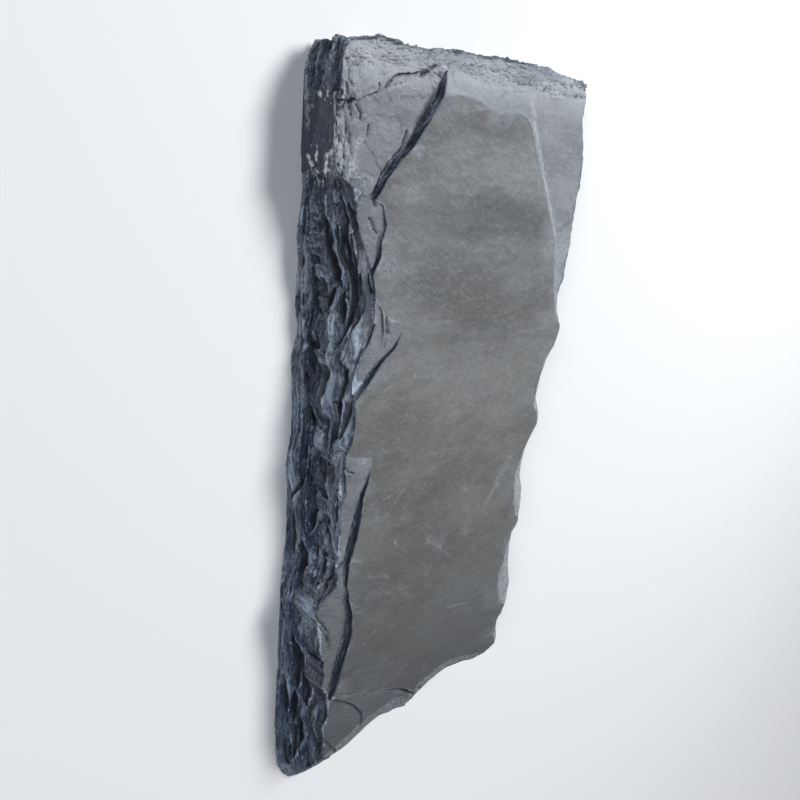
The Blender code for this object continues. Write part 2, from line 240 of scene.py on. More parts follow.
class Surface:
    """A mesh's points as arrays, in millimetres."""

    def __init__(self, mesh: bpy.types.Mesh) -> None:
        """Reads the mesh.

        Args:
            mesh: The mesh, in metres.
        """
        self.mesh = mesh
        self.points = self.read(mesh.vertices, "co") / MM
        pairs = np.empty(len(mesh.edges) * 2, np.int32)
        mesh.edges.foreach_get("vertices", pairs)
        self.pairs = pairs.reshape(-1, 2)
        self.joined = np.bincount(pairs, minlength=len(self.points)).astype(np.float32)

    @staticmethod
    def read(items: bpy.types.bpy_prop_collection, name: str) -> Array:
        """Reads what a mesh keeps for each of its items.

        Args:
            items: The items, such as its points.
            name: What is read, three numbers for each of them.

        Returns:
            One row of three numbers for each item.
        """
        flat = np.empty(len(items) * 3, np.float32)
        items.foreach_get(name, flat)
        return flat.reshape(-1, 3)

    def write(self) -> None:
        """Moves the mesh's points to where the arrays say."""
        self.mesh.vertices.foreach_set("co", (self.points * MM).astype(np.float32).ravel())
        self.mesh.update()

    def normals(self) -> Array:
        """Which way the surface faces at each point."""
        self.write()
        return self.read(self.mesh.vertex_normals, "vector")

    def calm(self, values: Array, rounds: int) -> Array:
        """Evens values out over the surface.

        Args:
            values: One number or one row for each point.
            rounds: How often each point is averaged with its neighbours.

        Returns:
            The evened values.
        """
        columns = values.reshape(len(values), -1).T.astype(np.float32)
        near, far = self.pairs.T
        evened = []
        for column in columns:
            for _ in range(rounds):
                total = np.bincount(near, column[far], len(column))
                total += np.bincount(far, column[near], len(column))
                column = 0.5 * column + 0.5 * total / self.joined
            evened.append(column.astype(np.float32))
        return np.array(evened).T.reshape(values.shape)

    def bulge(self, rounds: int) -> Array:
        """How far each point stands out of its surroundings, in millimetres."""
        rest = self.points - self.calm(self.points, rounds)
        return (rest * self.normals()).sum(axis=1)

    def mark(self, mark: Mark, values: Array) -> None:
        """Keeps a share from 0 to 1 for each point on the mesh."""
        layer = self.mesh.attributes.new(mark.value, "FLOAT", "POINT")
        layer.data.foreach_set("value", np.clip(values, 0.0, 1.0).astype(np.float32))


def path_gap(points: Array, path: tuple[Point, ...]) -> tuple[Array, ...]:
    """How points lie to a broken line on a plane.

    Args:
        points: One row of two numbers for each point.
        path: The line's corners.

    Returns:
        Distance to the line, share of its length reached there, and side of it: 1 on its left
        and -1 on its right.
    """
    corners = np.array(path, np.float32)
    steps = np.linalg.norm(np.diff(corners, axis=0), axis=1)
    starts = np.concatenate([[0.0], np.cumsum(steps)])
    gap = np.full(len(points), np.inf, np.float32)
    run = np.zeros(len(points), np.float32)
    side = np.ones(len(points), np.float32)
    for index, length in enumerate(steps):
        along = (corners[index + 1] - corners[index]) / length
        rest = points - corners[index]
        reach = np.clip(rest @ along, 0.0, length)
        away = rest - reach[:, None] * along
        distance = np.linalg.norm(away, axis=1)
        nearer = distance < gap
        gap = np.where(nearer, distance, gap)
        run = np.where(nearer, (starts[index] + reach) / starts[-1], run)
        turned = np.where(along[0] * rest[:, 1] - along[1] * rest[:, 0] < 0.0, -1.0, 1.0)
        side = np.where(nearer, turned, side)
    return gap, run, side


def beside(points: Array, path: tuple[Point, ...], reach: float) -> Array:
    """Finds the points that may be within reach of a line, in plan.

    Args:
        points: One row for each point.
        path: The line's corners.
        reach: How far a point may be.

    Returns:
        The points' numbers.
    """
    lows = np.min(path, axis=0) - reach
    highs = np.max(path, axis=0) + reach
    plan = points[:, :2]
    return np.flatnonzero((plan > lows).all(axis=1) & (plan < highs).all(axis=1))


@dataclass(frozen=True)
class Crack:
    """A crack where a flake has begun to lift, in plan."""

    path: tuple[Point, ...]
    depth: float = 1.2
    width: float = 1.0
    lift: float = 0.0
    reach: float = 8.0
    pale: float = 0.0

    def shape(self, surface: Surface, up: Array, grain: Grain) -> Array:
        """Opens the crack.

        Args:
            surface: The slab's surface, whose points are moved.
            up: How far each point faces up, from 0 to 1.
            grain: Noise that keeps the crack from running straight.

        Returns:
            How pale each point is where the stone is bruised along the crack.
        """
        near = beside(surface.points, self.path, 3.0 * self.reach)
        bruised = np.zeros(len(surface.points), np.float32)
        places = surface.points[near]
        places = places + 0.9 * grain.at(places, 4.0)[:, None]
        gap, run, side = path_gap(places[:, :2], self.path)
        ends = rise(run, -0.02, 0.10) * rise(run, 1.02, 0.90)
        groove = self.depth * np.exp(-((gap / (0.72 * self.width)) ** 2))
        raised = self.lift * (side > 0) * np.exp(-gap / self.reach) * ends
        surface.points[near, 2] += (raised - groove * ends) * up[near]
        bruised[near] = self.pale * np.exp(-((gap / (1.6 * self.width)) ** 2)) * ends
        return bruised * up


@dataclass(frozen=True)
class Seam:
    """A deep dark gap between two layers of the left edge, as how far up the slab and how high it runs."""

    path: tuple[Point, ...]
    depth: float = 3.0
    width: float = 1.3

    def shape(self, points: Array, grain: Grain) -> tuple[Array, ...]:
        """How deep the gap is, with a sharp edge over it and a rounded layer under it.

        Args:
            points: One row for each point.
            grain: Noise that keeps the gap from running straight.

        Returns:
            Depths in millimetres, how near each point is as a share from 0 to 1, and how far below
            the gap it is, in widths of the gap.
        """
        places = points[:, 1:] + 0.8 * grain.at(points, 7.0)[:, None]
        gap, run, side = path_gap(places, self.path)
        ends = rise(run, -0.03, 0.12) * rise(run, 1.03, 0.88)
        pointed = 0.2 + 0.8 * rise(run, -0.05, 0.4) * rise(run, 1.05, 0.6)
        gap = gap / (1.3 * self.width * pointed)
        sharp = np.exp(-((1.25 * gap) ** 2))
        rounded = np.maximum(sharp, 0.85 * np.exp(-0.45 * gap))
        near = np.exp(-((0.4 * gap) ** 2)) * ends
        return self.depth * np.where(side < 0.0, sharp, rounded) * ends, near, side * gap


@dataclass(frozen=True)
class Spall:
    """A thin flake gone from the rim of the face: its inner border in plan, with the rim on its left."""

    path: tuple[Point, ...]
    step: float = 0.45
    slope: float = 0.22
    pale: float = 0.0
    lined: float = 0.5
    reach: float = 60.0
    width: float = 14.0
    bottom: float = 14.0
    top: float = 38.0

    def shape(self, surface: Surface, grain: Grain) -> tuple[Array, Array]:
        """Takes the flake off.

        Args:
            surface: The slab's surface, whose points are moved.
            grain: Noise that frays the border.

        Returns:
            Shares from 0 to 1 of broken stone, and how pale each point is.
        """
        near = beside(surface.points, self.path, self.reach)
        near = near[surface.points[near, 2] > self.bottom]
        broken, bruised = np.zeros((2, len(surface.points)), np.float32)
        places = surface.points[near]
        frayed = places[:, :2] + (1.3 * grain.at(places, 7.0) + 0.5 * grain.at(places, 2.4))[:, None]
        gap, run, side = path_gap(frayed, self.path)
        gone = gap * (side > 0.0) * (run > 0.001) * (run < 0.999)
        share = rise(gone, 0.0, 0.9)
        drop = self.step * share + self.slope * np.minimum(gone, self.width)
        surface.points[near, 2] -= drop * rise(places[:, 2], self.bottom + 1.0, self.top)
        broken[near] = share
        bruised[near] = np.maximum(self.pale * share, self.lined * share * rise(gone, 2.6, 0.9))
        return broken, bruised


@dataclass(frozen=True)
class Patch:
    """A frayed patch: where the stone is crushed to pale dust, and where painted light makes it paler and
    painted shade darker than elsewhere.
    """

    at: Place
    size: Place
    strength: float = 1.0

    def share(self, points: Array, grain: Grain) -> Array:
        """How much of the patch each point gets.

        Args:
            points: One row for each point.
            grain: Noise that frays the patch.

        Returns:
            Shares from 0 to 1, times the patch's strength.
        """
        away = (points - np.array(self.at, np.float32)) / np.array(self.size, np.float32)
        distance = np.linalg.norm(away, axis=1) + 0.5 * grain.at(points, 6.0)
        return self.strength * rise(distance, 1.15, 0.35)


@dataclass(frozen=True)
class Pillows:
    """One size of the lumps that a broken edge is made of, in millimetres."""

    size: Place
    shift: float
    dome: float
    cut: float

    def shape(self, points: Array, lumps: Lumps) -> tuple[Array, Array]:
        """How far the lumps stand out, and where the crevices between them are.

        Args:
            points: One row for each point.
            lumps: Where the lumps are.

        Returns:
            Distances in millimetres, negative ones inwards, and shares of crevice from 0 to 1.
        """
        border, tone = lumps.at(points, *self.size)
        crevice = rise(border, 0.26, 0.05)
        dome = np.minimum(border / 0.7, 1.0) ** 0.6
        return self.shift * tone + self.dome * (dome - 0.7) - self.cut * rise(border, 0.12, 0.0), crevice


def bedding(points: Array, grains: list[Grain]) -> Array:
    """The points, with the wavy layers of the stone made level.

    Args:
        points: One row for each point.
        grains: At least seven noises.

    Returns:
        The points, moved up or down.
    """
    bend = 9.0 * grains[0].at(points, 75.0, 75.0, 40.0) + 2.6 * grains[5].at(points, 24.0, 24.0, 14.0)
    bend += 0.7 * grains[6].at(points, 7.0, 7.0, 5.0)
    return points + bend[:, None] * UP


@dataclass(frozen=True)
class Relief:
    """How one kind of broken edge stands in and out, in millimetres."""

    large: Pillows
    small: Pillows
    swell: float
    lamina: float
    grit: float
    lean: float = 0.0

    def shape(
        self, points: Array, steep: Array, grains: list[Grain], lumps: list[Lumps]
    ) -> tuple[Array, Array]:
        """How far each point moves out, and where the crevices are.

        Args:
            points: One row for each point.
            steep: How upright the edge is there, from 0 to 1.
            grains: At least eight noises.
            lumps: Two sets of lumps.

        Returns:
            Distances in millimetres, negative ones inwards, and shares of crevice from 0 to 1.
        """
        bent = bedding(points, grains)
        leaning = bent + self.lean * bent[:, 2:] * ALONG
        large, large_crevice = self.large.shape(leaning, lumps[0])
        small, small_crevice = self.small.shape(leaning, lumps[1])
        level = 60.0 * np.floor(bent[:, 2] / 1.9)
        lamina = grains[4].at(np.stack([points[:, 0], points[:, 1], level], axis=1), 13.0, 13.0, 11.3)
        swell = grains[1].at(bent, 60.0, 60.0, 16.0)
        grit = grains[5].at(points, 3.0, 3.0, 1.7)
        fine = small + self.lamina * lamina + self.grit * (folds(grit, 0.8) - 0.5)
        crevice = np.maximum(large_crevice, 0.75 * small_crevice) * steep
        return large * (0.4 + 0.6 * steep) + self.swell * swell + fine * steep, crevice


LEFT_EDGE = Relief(
    large=Pillows(size=(44.0, 92.0, 7.0), shift=1.3, dome=2.0, cut=1.0),
    small=Pillows(size=(20.0, 54.0, 3.6), shift=0.9, dome=1.7, cut=0.8),
    swell=1.6,
    lamina=0.7,
    grit=0.6,
    lean=6.0,
)
OTHER_EDGES = Relief(
    large=Pillows(size=(42.0, 42.0, 9.0), shift=1.5, dome=2.2, cut=1.0),
    small=Pillows(size=(16.0, 16.0, 3.4), shift=0.7, dome=1.3, cut=0.4),
    swell=1.4,
    lamina=0.8,
    grit=0.7,
)


@dataclass
class RivenSlab:
    """The slab itself."""

    cracks: tuple[Crack, ...]
    seams: tuple[Seam, ...]
    spalls: tuple[Spall, ...]
    bruises: tuple[Patch, ...]
    light_and_shade: tuple[Patch, ...]
    voxel: float = 0.95
    quick_voxel: float = 2.0
    stretch: float = 1.85
    most_triangles: int = 197_000
    plain_triangles: int = 45_000
    seed: int = 11
    thickness: float = 45.0
    joint_from: float = 219.0
    joint_to: float = 267.0
    joint_top: float = 38.0
    top_band: float = 284.0
    shallow_from: float = 20.0
    shallow_to: float = 212.0
    layers_inner: float = -90.0
    layers_depth: float = 12.0
    rich_inner: float = -60.0
    spall_from: float = 200.0
    sharp_angle: float = 38.0

    def __post_init__(self) -> None:
        """Draws the slab's noises and makes its fine mesh."""
        self.grains = [Grain(self.seed + step) for step in range(8)]
        self.lumps = [Lumps(self.seed + step) for step in range(2)]
        self.piece = self.copy_solid()
        self.remesh()
        self.surface = Surface(self.piece.data)

    def build(self) -> bpy.types.Object:
        """Makes the finished slab.

        Returns:
            The slab's object.
        """
        self.mark_regions()
        LOG.info("slab remeshed to %d points", len(self.surface.points))
        grooves = self.break_edges()
        self.wave_faces()
        spalled = self.break_rim()
        bruised = np.maximum(self.open_cracks(), spalled)
        self.chip_rims()
        self.settle()
        self.mark_wear_and_shade(bruised, grooves)
        self.thin_out()
        return self.piece

    @staticmethod
    def copy_solid() -> bpy.types.Object:
        """Copies the slab's solid and merges its points.

        Returns:
            The copy, as an object of its own.
        """
        shape = bmesh.new()
        shape.from_mesh(bpy.data.objects[NODE].data)
        bmesh.ops.remove_doubles(shape, verts=shape.verts, dist=0.01 * MM)
        mesh = bpy.data.meshes.new("riven_slab")
        shape.to_mesh(mesh)
        shape.free()
        piece = bpy.data.objects.new("riven_slab", mesh)
        bpy.context.scene.collection.objects.link(piece)
        return piece

    def remesh(self) -> None:
        """Gives the slab an even fine mesh, finer in height than in plan."""
        taller = Matrix.Diagonal((1.0, 1.0, self.stretch, 1.0))
        self.piece.data.transform(taller)
        remesh = self.piece.modifiers.new("fine_mesh", "REMESH")
        remesh.mode = "VOXEL"
        remesh.voxel_size = self.voxel * MM
        self.apply()
        self.piece.data.transform(taller.inverted())

    def apply(self) -> None:
        """Turns the slab's modifiers into its mesh."""
        graph = bpy.context.evaluated_depsgraph_get()
        mesh = bpy.data.meshes.new_from_object(self.piece.evaluated_get(graph))
        self.piece.modifiers.clear()
        old = self.piece.data
        self.piece.data = mesh
        bpy.data.meshes.remove(old)

    def mark_regions(self) -> None:
        """Finds what each point of the untouched slab belongs to."""
        surface = self.surface
        x, y, z = surface.points.T
        self.depth = self.thickness - z
        self.facing = unit(surface.calm(surface.normals(), 7))
        self.left = rise(-self.facing[:, 0], 0.15, 0.6)
        self.under = rise(self.facing[:, 2], -0.55, -0.85)
        self.up = rise(self.facing[:, 2], 0.55, 0.9)
        flat = np.hypot(self.facing[:, 0], self.facing[:, 1])
        self.wall = rise(flat, 0.42, 0.85)
        self.steep = rise(flat, 0.62, 0.93)
        self.upright = rise(flat, 0.30, 0.65)
        self.aim_outwards()
        around = surface.calm(self.facing[:, 2], 70)
        self.riser = self.wall * rise(around, 0.30, 0.62) * rise(self.depth, 16.0, 11.0)
        layered = rise(surface.calm(self.wall, 140), 0.34, 0.44) * (1.0 - self.under)
        shallow = 3.5 * within(y, self.shallow_from, self.shallow_to, 12.0)
        deep = rise(self.depth + shallow, 9.5, self.layers_depth) * (1.0 - self.under)
        deep *= rise(y, self.top_band + 4.0, self.top_band - 2.0)
        layered = np.maximum(layered * rise(self.depth, 0.3, 1.0), deep)
        layered *= rise(x, self.layers_inner, self.layers_inner - 6.0)
        self.left = np.maximum(self.left, layered)
        self.layered = np.maximum(self.wall, layered)
        self.scar = rise(self.depth, 0.06, 0.28) * (1.0 - self.under)
        joint = within(y, self.joint_from, self.joint_to, 3.0)
        self.joint = joint * rise(z, self.joint_top + 1.5, self.joint_top) * self.left * self.wall
        edge = y + 3.0 * self.grains[0].at(surface.points, 20.0)
        self.band = rise(edge, self.top_band - 3.0, self.top_band + 5.0) * rise(self.depth, 2.0, 6.0)
        self.bed = 0.2 + bedding(surface.points, self.grains)[:, 2] / BED_SPAN

    def aim_outwards(self) -> None:
        """Finds which way each point moves when its edge is broken, and how freely."""
        sideways = unit(self.surface.calm(self.facing * (ACROSS + ALONG), 40))
        share = self.surface.calm(self.left, 25)[:, None]
        broad = unit(self.surface.calm(self.facing, 20))
        self.outwards = unit(unit(sideways * (1.0 - share) - ACROSS * share) + 1.1 * broad)
        self.free = rise((self.outwards * self.facing).sum(axis=1), 0.2, 0.65)

    def break_edges(self) -> Array:
        """Breaks the slab's edges into pillows, crevices and grit.

        Returns:
            Shares from 0 to 1 of crevice.
        """
        broken = np.flatnonzero(self.layered > 0.01)
        points = self.surface.points[broken]
        on_left = self.left[broken]
        steep = self.steep[broken]
        upright = 0.25 + 0.75 * self.upright[broken]
        left, left_crevices = LEFT_EDGE.shape(points, steep, self.grains, self.lumps)
        other, other_crevices = OTHER_EDGES.shape(points, steep, self.grains[::-1], self.lumps)
        seam_share, below = np.zeros((2, len(points)), np.float32)
        for seam in self.seams:
            deep, share, under = seam.shape(points, self.grains[3])
            share = share * upright
            left -= deep * upright
            below = np.where(share > seam_share, under, below)
            seam_share = np.maximum(share, seam_share)
        loose = self.layered[broken] * (1.0 - 0.93 * self.joint[broken])
        near_face = 0.45 + 0.55 * rise(self.depth[broken], 1.0, 9.0)
        held = (1.0 - 0.6 * self.riser[broken]) * self.free[broken]
        move = (on_left * left + (1.0 - on_left) * other) * loose * near_face * held
        low = rise(points[:, 2], 0.0, 5.0)
        move = np.where(move > 0.0, move * (0.25 + 0.75 * low), move)
        self.surface.points[broken] += self.outwards[broken] * move[:, None]
        self.near_seam, self.below_seam, crevices = np.zeros((3, len(self.left)), np.float32)
        self.near_seam[broken] = seam_share * on_left
        self.below_seam[broken] = below
        crevices[broken] = (on_left * left_crevices + (1.0 - on_left) * other_crevices) * loose
        return crevices

    def wave_faces(self) -> None:
        """Gives the face its slow waves, and the scars on it a stepped and rougher break."""
        points, grains = self.surface.points, self.grains
        waves = 0.45 * grains[0].at(points, 95.0, 55.0, 60.0)
        waves += 0.16 * grains[1].at(points, 34.0, 21.0, 40.0)
        plan = points * (ACROSS + ALONG + 0.25 * UP)
        broad = grains[6].at(plan, 38.0, 30.0, 30.0) + 0.35 * grains[7].at(plan, 11.0)
        steps = 0.62 * (terraces(broad, 4.0, 0.14) + 0.5) * rise(grains[5].at(plan, 40.0), -0.45, 0.0)
        spall = 0.35 + 0.65 * rise(points[:, 1], self.spall_from, self.spall_from + 14.0)
        rough = 0.35 * grains[2].at(points, 17.0)
        rough += 0.30 * spall * (folds(grains[3].at(points, 6.0), 0.8) - 0.5)
        rough += 0.20 * (folds(grains[4].at(points, 2.4), 0.9) - 0.5)
        flakes = terraces(grains[5].at(points, 32.0, 7.0, 9.0), 4.0, 0.16)
        band = 1.0 * (flakes + 0.5) + 1.1 * (folds(grains[1].at(points, 11.0, 4.0, 4.0), 0.8) - 0.6)
        band += 0.5 * (folds(grains[2].at(points, 3.4, 2.0, 2.3), 0.9) - 0.5)
        broken = rise(self.depth, 0.6, 2.5) * (1.0 - rise(points[:, 0], 45.0, 75.0) * (1.0 - self.band))
        lift = waves + rough * self.scar * (0.35 + 0.65 * broken)
        lift += steps * spall * broken
        lift += band * self.band
        lift += self.rubble(points) + self.sheets(points) * (self.layered - self.wall)
        self.surface.points = points + self.facing * (lift * self.up)[:, None]

    def sheets(self, points: Array) -> Array:
        """How the thin sheets on the treads of the layered edge stand up and down.

        Args:
            points: One row for each point.

        Returns:
            Heights in millimetres.
        """
        drift = points + 0.1 * points[:, 1:2] * ACROSS
        thick = terraces(self.grains[2].at(drift, 11.0, 60.0, 40.0), 3.5, 0.14)
        thin = terraces(self.grains[4].at(drift, 6.0, 34.0, 20.0), 2.5, 0.2)
        grit = folds(self.grains[5].at(points, 3.0, 6.0, 3.0), 0.8)
        return 1.1 * (thick + 0.5) + 0.5 * (thin + 0.5) + 0.4 * (grit - 0.5)

    def rubble(self, points: Array) -> Array:
        """How the loose blocks beside the joint stand up and down.

        Args:
            points: One row for each point.

        Returns:
            Heights in millimetres.
        """
        where = within(points[:, 0], -150.0, -132.0, 3.0) * within(points[:, 1], 214.0, 286.0, 4.0)
        blocks = folds(self.grains[2].at(points, 5.0, 17.0, 9.0), 0.6) - 0.6
        chips = folds(self.grains[6].at(points, 2.2, 7.0, 5.0), 0.7) - 0.6
        return where * (2.4 * blocks + 1.1 * chips)

    def break_rim(self) -> Array:
        """Takes every thin flake off the rim.

        Returns:
            How pale the stone is there, from 0 to 1.
        """
        pale = np.zeros(len(self.left), np.float32)
        for spall in self.spalls:
            broken, bruised = spall.shape(self.surface, self.grains[6])
            self.scar = np.maximum(self.scar, broken * (1.0 - self.under))
            pale = np.maximum(pale, bruised * (1.0 - self.layered))
        return pale

    def open_cracks(self) -> Array:
        """Opens every crack.

        Returns:
            How bruised the stone is along them and in its bruises, from 0 to 1.
        """
        bruised = np.zeros(len(self.left), np.float32)
        for crack in self.cracks:
            pale = crack.shape(self.surface, self.up * self.scar, self.grains[5])
            bruised = np.maximum(bruised, pale)
        for bruise in self.bruises:
            bruised = np.maximum(bruised, bruise.share(self.surface.points, self.grains[4]))
        return bruised

    def chip_rims(self) -> None:
        """Takes small chips off whatever stands out sharply."""
        surface = self.surface
        proud = np.clip(surface.bulge(6), 0.0, 1.5) * (1.0 - self.under)
        chips = 0.05 + 1.1 * rise(self.grains[3].at(surface.points, 8.0), 0.05, 0.4)
        surface.points -= surface.normals() * (proud * chips)[:, None]

    def settle(self) -> None:
        """Keeps the back flat on the ground."""
        points = self.surface.points
        points[:, 2] = np.maximum(points[:, 2] * (1.0 - self.under), 0.0)

    def mark_wear_and_shade(self, bruised: Array, grooves: Array) -> None:
        """Keeps what the finish needs to know on the mesh: its wear, and where it paints light and shade.

        Args:
            bruised: Shares from 0 to 1 of crushed stone.
            grooves: Shares from 0 to 1 of groove.
        """
        surface = self.surface
        fine = surface.bulge(3)
        broad = surface.bulge(16)
        feather = rise(self.depth, 0.03, 0.18) * rise(self.depth, 0.9, 0.4) * self.up
        feather *= 0.7 * rise(self.grains[4].at(surface.points, 11.0), -0.15, 0.4)
        # Paler patches of painted light and darker patches of painted shade on the layered edge.
        tone = sum(patch.share(surface.points, self.grains[4]) for patch in self.light_and_shade)
        marks = {
            Mark.WALL: self.layered,
            Mark.SCAR: self.scar,
            Mark.JOINT: self.joint,
            Mark.CRUSH: np.maximum(bruised, feather),
            # Ridges get pale wear and painted highlight, hollows and grooves painted shade.
            Mark.RIDGE: np.maximum(fine / 0.35, broad / 1.0),
            Mark.HOLLOW: np.maximum(-broad / 1.0 - 0.15, -fine / 0.35 - 0.15),
            Mark.GROOVE: grooves,
            Mark.RISER: self.riser,
            Mark.LEDGE: rise(surface.normals()[:, 2], 0.3, 0.85) * self.layered,
            Mark.BED: self.bed,
            Mark.LIGHT_AND_SHADE: 0.5 + 0.5 * tone,
            Mark.NEAR: self.near_seam,
            Mark.SEAM: 0.5 + self.below_seam / SEAM_SPAN,
        }
        for mark, values in marks.items():
            surface.mark(mark, values)

    def thin_out(self) -> None:
        """Brings the slab's mesh down to its budget, most of all where the edge isn't layered."""
        mesh = self.piece.data
        rich = np.maximum(self.wall, self.scar) > 0.5
        rich &= self.surface.points[:, 0] < self.rich_inner
        corners = np.empty(len(mesh.loops), np.int32)
        mesh.loops.foreach_get("vertex_index", corners)
        sizes = np.empty(len(mesh.polygons), np.int32)
        mesh.polygons.foreach_get("loop_total", sizes)
        kept = np.minimum.reduceat(rich[corners], np.cumsum(sizes) - sizes)
        total = int((sizes - 2).sum())
        group = self.piece.vertex_groups.new(name="rich")
        group.add(np.flatnonzero(rich).tolist(), 1.0, "REPLACE")
        self.collapse((int((sizes - 2)[kept].sum()) + self.plain_triangles) / total, group.name)
        self.piece.vertex_groups.clear()
        left = sum(len(polygon.vertices) - 2 for polygon in self.piece.data.polygons)
        self.collapse(self.most_triangles / left)
        self.piece.data.shade_smooth()
        self.piece.data.set_sharp_from_angle(angle=math.radians(self.sharp_angle))
        LOG.info("slab thinned from %d to %d triangles", total, len(self.piece.data.polygons))

    def collapse(self, ratio: float, locked: str = "") -> None:
        """Joins triangles of the slab where that changes its shape least.

        Args:
            ratio: Share of its triangles that stays.
            locked: Vertex group that is left as it is.
        """
        thin = self.piece.modifiers.new("thin_out", "DECIMATE")
        thin.ratio = min(1.0, ratio)
        thin.vertex_group = locked
        thin.invert_vertex_group = bool(locked)
        self.apply()


CRACKS = (
    Crack(((-128, 264), (-124, 258), (-123, 253)), 1.6, 1.1, 0.8),
    Crack(((-116, 252), (-117, 247), (-118, 243)), 1.6, 1.1, -0.6),
    Crack(((-143, 256), (-140, 252)), 0.8, 1.0),
    Crack(((-137, 244), (-139, 239)), 1.2, 1.0),
    Crack(((-83, 251), (-84, 245), (-88, 238), (-96, 231)), 2.2, 1.3, 0.6),
    Crack(((-121, 242), (-115, 235), (-106, 224), (-104, 218)), 0.8, 0.9),
    Crack(((-125, 232), (-134, 226)), 0.3, 1.6, pale=1.0),
    Crack(((-120, 245), (-128, 237)), 0.3, 1.2, pale=0.9),
    Crack(((-130, 221), (-120, 219), (-107, 216)), 0.3, 1.2, 0.4, pale=0.9),
    Crack(((-111, 277), (-114, 270)), 1.8, 1.2, 0.8),
    Crack(((-100, 282), (-100, 279), (-105, 273)), 1.8, 1.2, 0.8),
    Crack(((-60, 293), (-67, 288), (-75, 283)), 3.0, 1.7, 1.0),
    Crack(((-135, 276), (-127, 267)), 0.4, 1.2, 0.3, pale=0.7),
    Crack(((-126, 266), (-114, 270), (-97, 277), (-82, 282)), 0.5, 1.2, 0.4, pale=0.8),
    Crack(((-116, 195), (-112, 189), (-106, 183)), 1.3, 1.0, 0.5),
    Crack(((-114, 205), (-111, 201)), 1.6, 1.2),
    Crack(((-96, 131), (-94, 125), (-91, 114), (-88, 113)), 1.6, 1.1, 0.5),
    Crack(((-92, 111), (-91, 101)), 0.8, 0.9),
    Crack(((-124, 17), (-116, 11), (-111, 9)), 1.5, 1.0, 0.5),
    Crack(((-116, 10), (-116, 2)), 1.1, 0.9),
    Crack(((-103, -9), (-99, -16), (-102, -26), (-107, -40)), 2.4, 1.3, 0.5),
    Crack(((-131, 4), (-124, -6), (-117, -11), (-118, -15), (-121, -21), (-121, -42)), 1.8, 1.1, 0.7),
    Crack(((-130, -38), (-121, -55), (-119, -68)), 2.0, 1.2, 0.6),
    Crack(((-106, -58), (-116, -69), (-128, -80)), 2.0, 1.2, 0.5),
    Crack(((-136, -108), (-129, -117), (-122, -128), (-121, -141)), 1.5, 1.1, 0.6),
    Crack(((-45, -217), (-21, -234), (-15, -239)), 1.6, 1.3, 0.3),
    Crack(((-118, -187), (-100, -195), (-74, -204), (-45, -215), (-21, -232)), 0.2, 1.4, pale=0.6),
    Crack(((-11, -230), (-9, -240)), 2.4, 1.4),
)

SEAMS = (
    Seam(((212, 34), (197, 35), (172, 34), (156, 35), (134, 35), (116, 31), (100, 26)), 4.2, 1.5),
    Seam(((204, 37), (186, 40), (166, 40)), 2.6, 1.1),
    Seam(((200, 23), (181, 26), (163, 28), (143, 28)), 4.5, 1.5),
    Seam(((193, 7), (170, 10), (161, 15), (134, 14), (120, 18)), 3.6, 1.5),
    Seam(((166, 4), (159, 4), (151, 3)), 1.6, 1.0),
    Seam(((139, 7), (129, 7)), 1.4, 0.9),
    Seam(((145, 26), (133, 24), (124, 21)), 2.4, 1.1),
    Seam(((143, 29), (130, 30), (118, 28)), 2.6, 1.1),
    Seam(((186, 37), (167, 37), (158, 36)), 1.6, 0.7),
    Seam(((161, 38), (145, 38), (131, 37), (109, 33)), 2.2, 0.9),
    Seam(((160, 40), (129, 40), (116, 39)), 1.6, 1.0),
    Seam(((189, 30), (175, 31)), 1.6, 0.9),
    Seam(((116, 9), (95, 12)), 2.6, 1.6),
    Seam(((114, 14), (98, 15), (76, 16)), 2.6, 1.4),
    Seam(((94, 20), (82, 23), (60, 20)), 2.8, 1.6),
    Seam(((99, 27), (88, 34), (62, 34), (46, 31), (23, 28), (0, 27)), 4.0, 1.5),
    Seam(((67, 36), (55, 34), (36, 31)), 3.0, 1.2),
    Seam(((72, 41), (51, 38), (41, 36), (31, 32)), 2.4, 1.2),
    Seam(((87, 7), (66, 10), (46, 13), (30, 18), (9, 25), (-18, 24), (-39, 25), (-70, 38)), 4.5, 1.8),
    Seam(((26, 10), (12, 12)), 1.8, 1.2),
    Seam(((-4, 13), (-27, 17), (-53, 12)), 2.2, 1.2),
    Seam(((1, 11), (-9, 8), (-25, 1)), 1.8, 0.9),
    Seam(((-36, 21), (-50, 19), (-69, 19)), 2.2, 1.2),
    Seam(((-57, 26), (-70, 26), (-87, 27)), 2.8, 1.3),
    Seam(((-65, 40), (-84, 33), (-92, 34), (-108, 37)), 1.8, 0.8),
    Seam(((-11, 33), (-19, 36), (-41, 35)), 1.8, 0.8),
    Seam(((-29, 4), (-44, 5), (-71, 5)), 2.0, 1.2),
    Seam(((-54, 10), (-79, 10), (-103, 14), (-120, 12)), 3.4, 1.6),
    Seam(((-120, 19), (-151, 20), (-178, 19), (-204, 16), (-223, 14)), 4.0, 1.5),
    Seam(((-142, 7), (-163, 11), (-173, 12), (-200, 10)), 3.2, 1.4),
    Seam(((-167, 12), (-201, 15)), 1.8, 1.0),
    Seam(((-186, 27), (-190, 37), (-202, 38), (-222, 38)), 2.4, 1.4),
    Seam(((-225, 24), (-240, 25), (-256, 35)), 3.6, 2.4),
    Seam(((-224, 13), (-253, 12), (-279, 8)), 2.2, 1.1),
    Seam(((-198, 9), (-232, 12)), 3.0, 1.6),
    Seam(((-182, 4), (-225, 7)), 2.2, 1.2),
    Seam(((-245, 7), (-282, 7)), 2.2, 1.2),
)

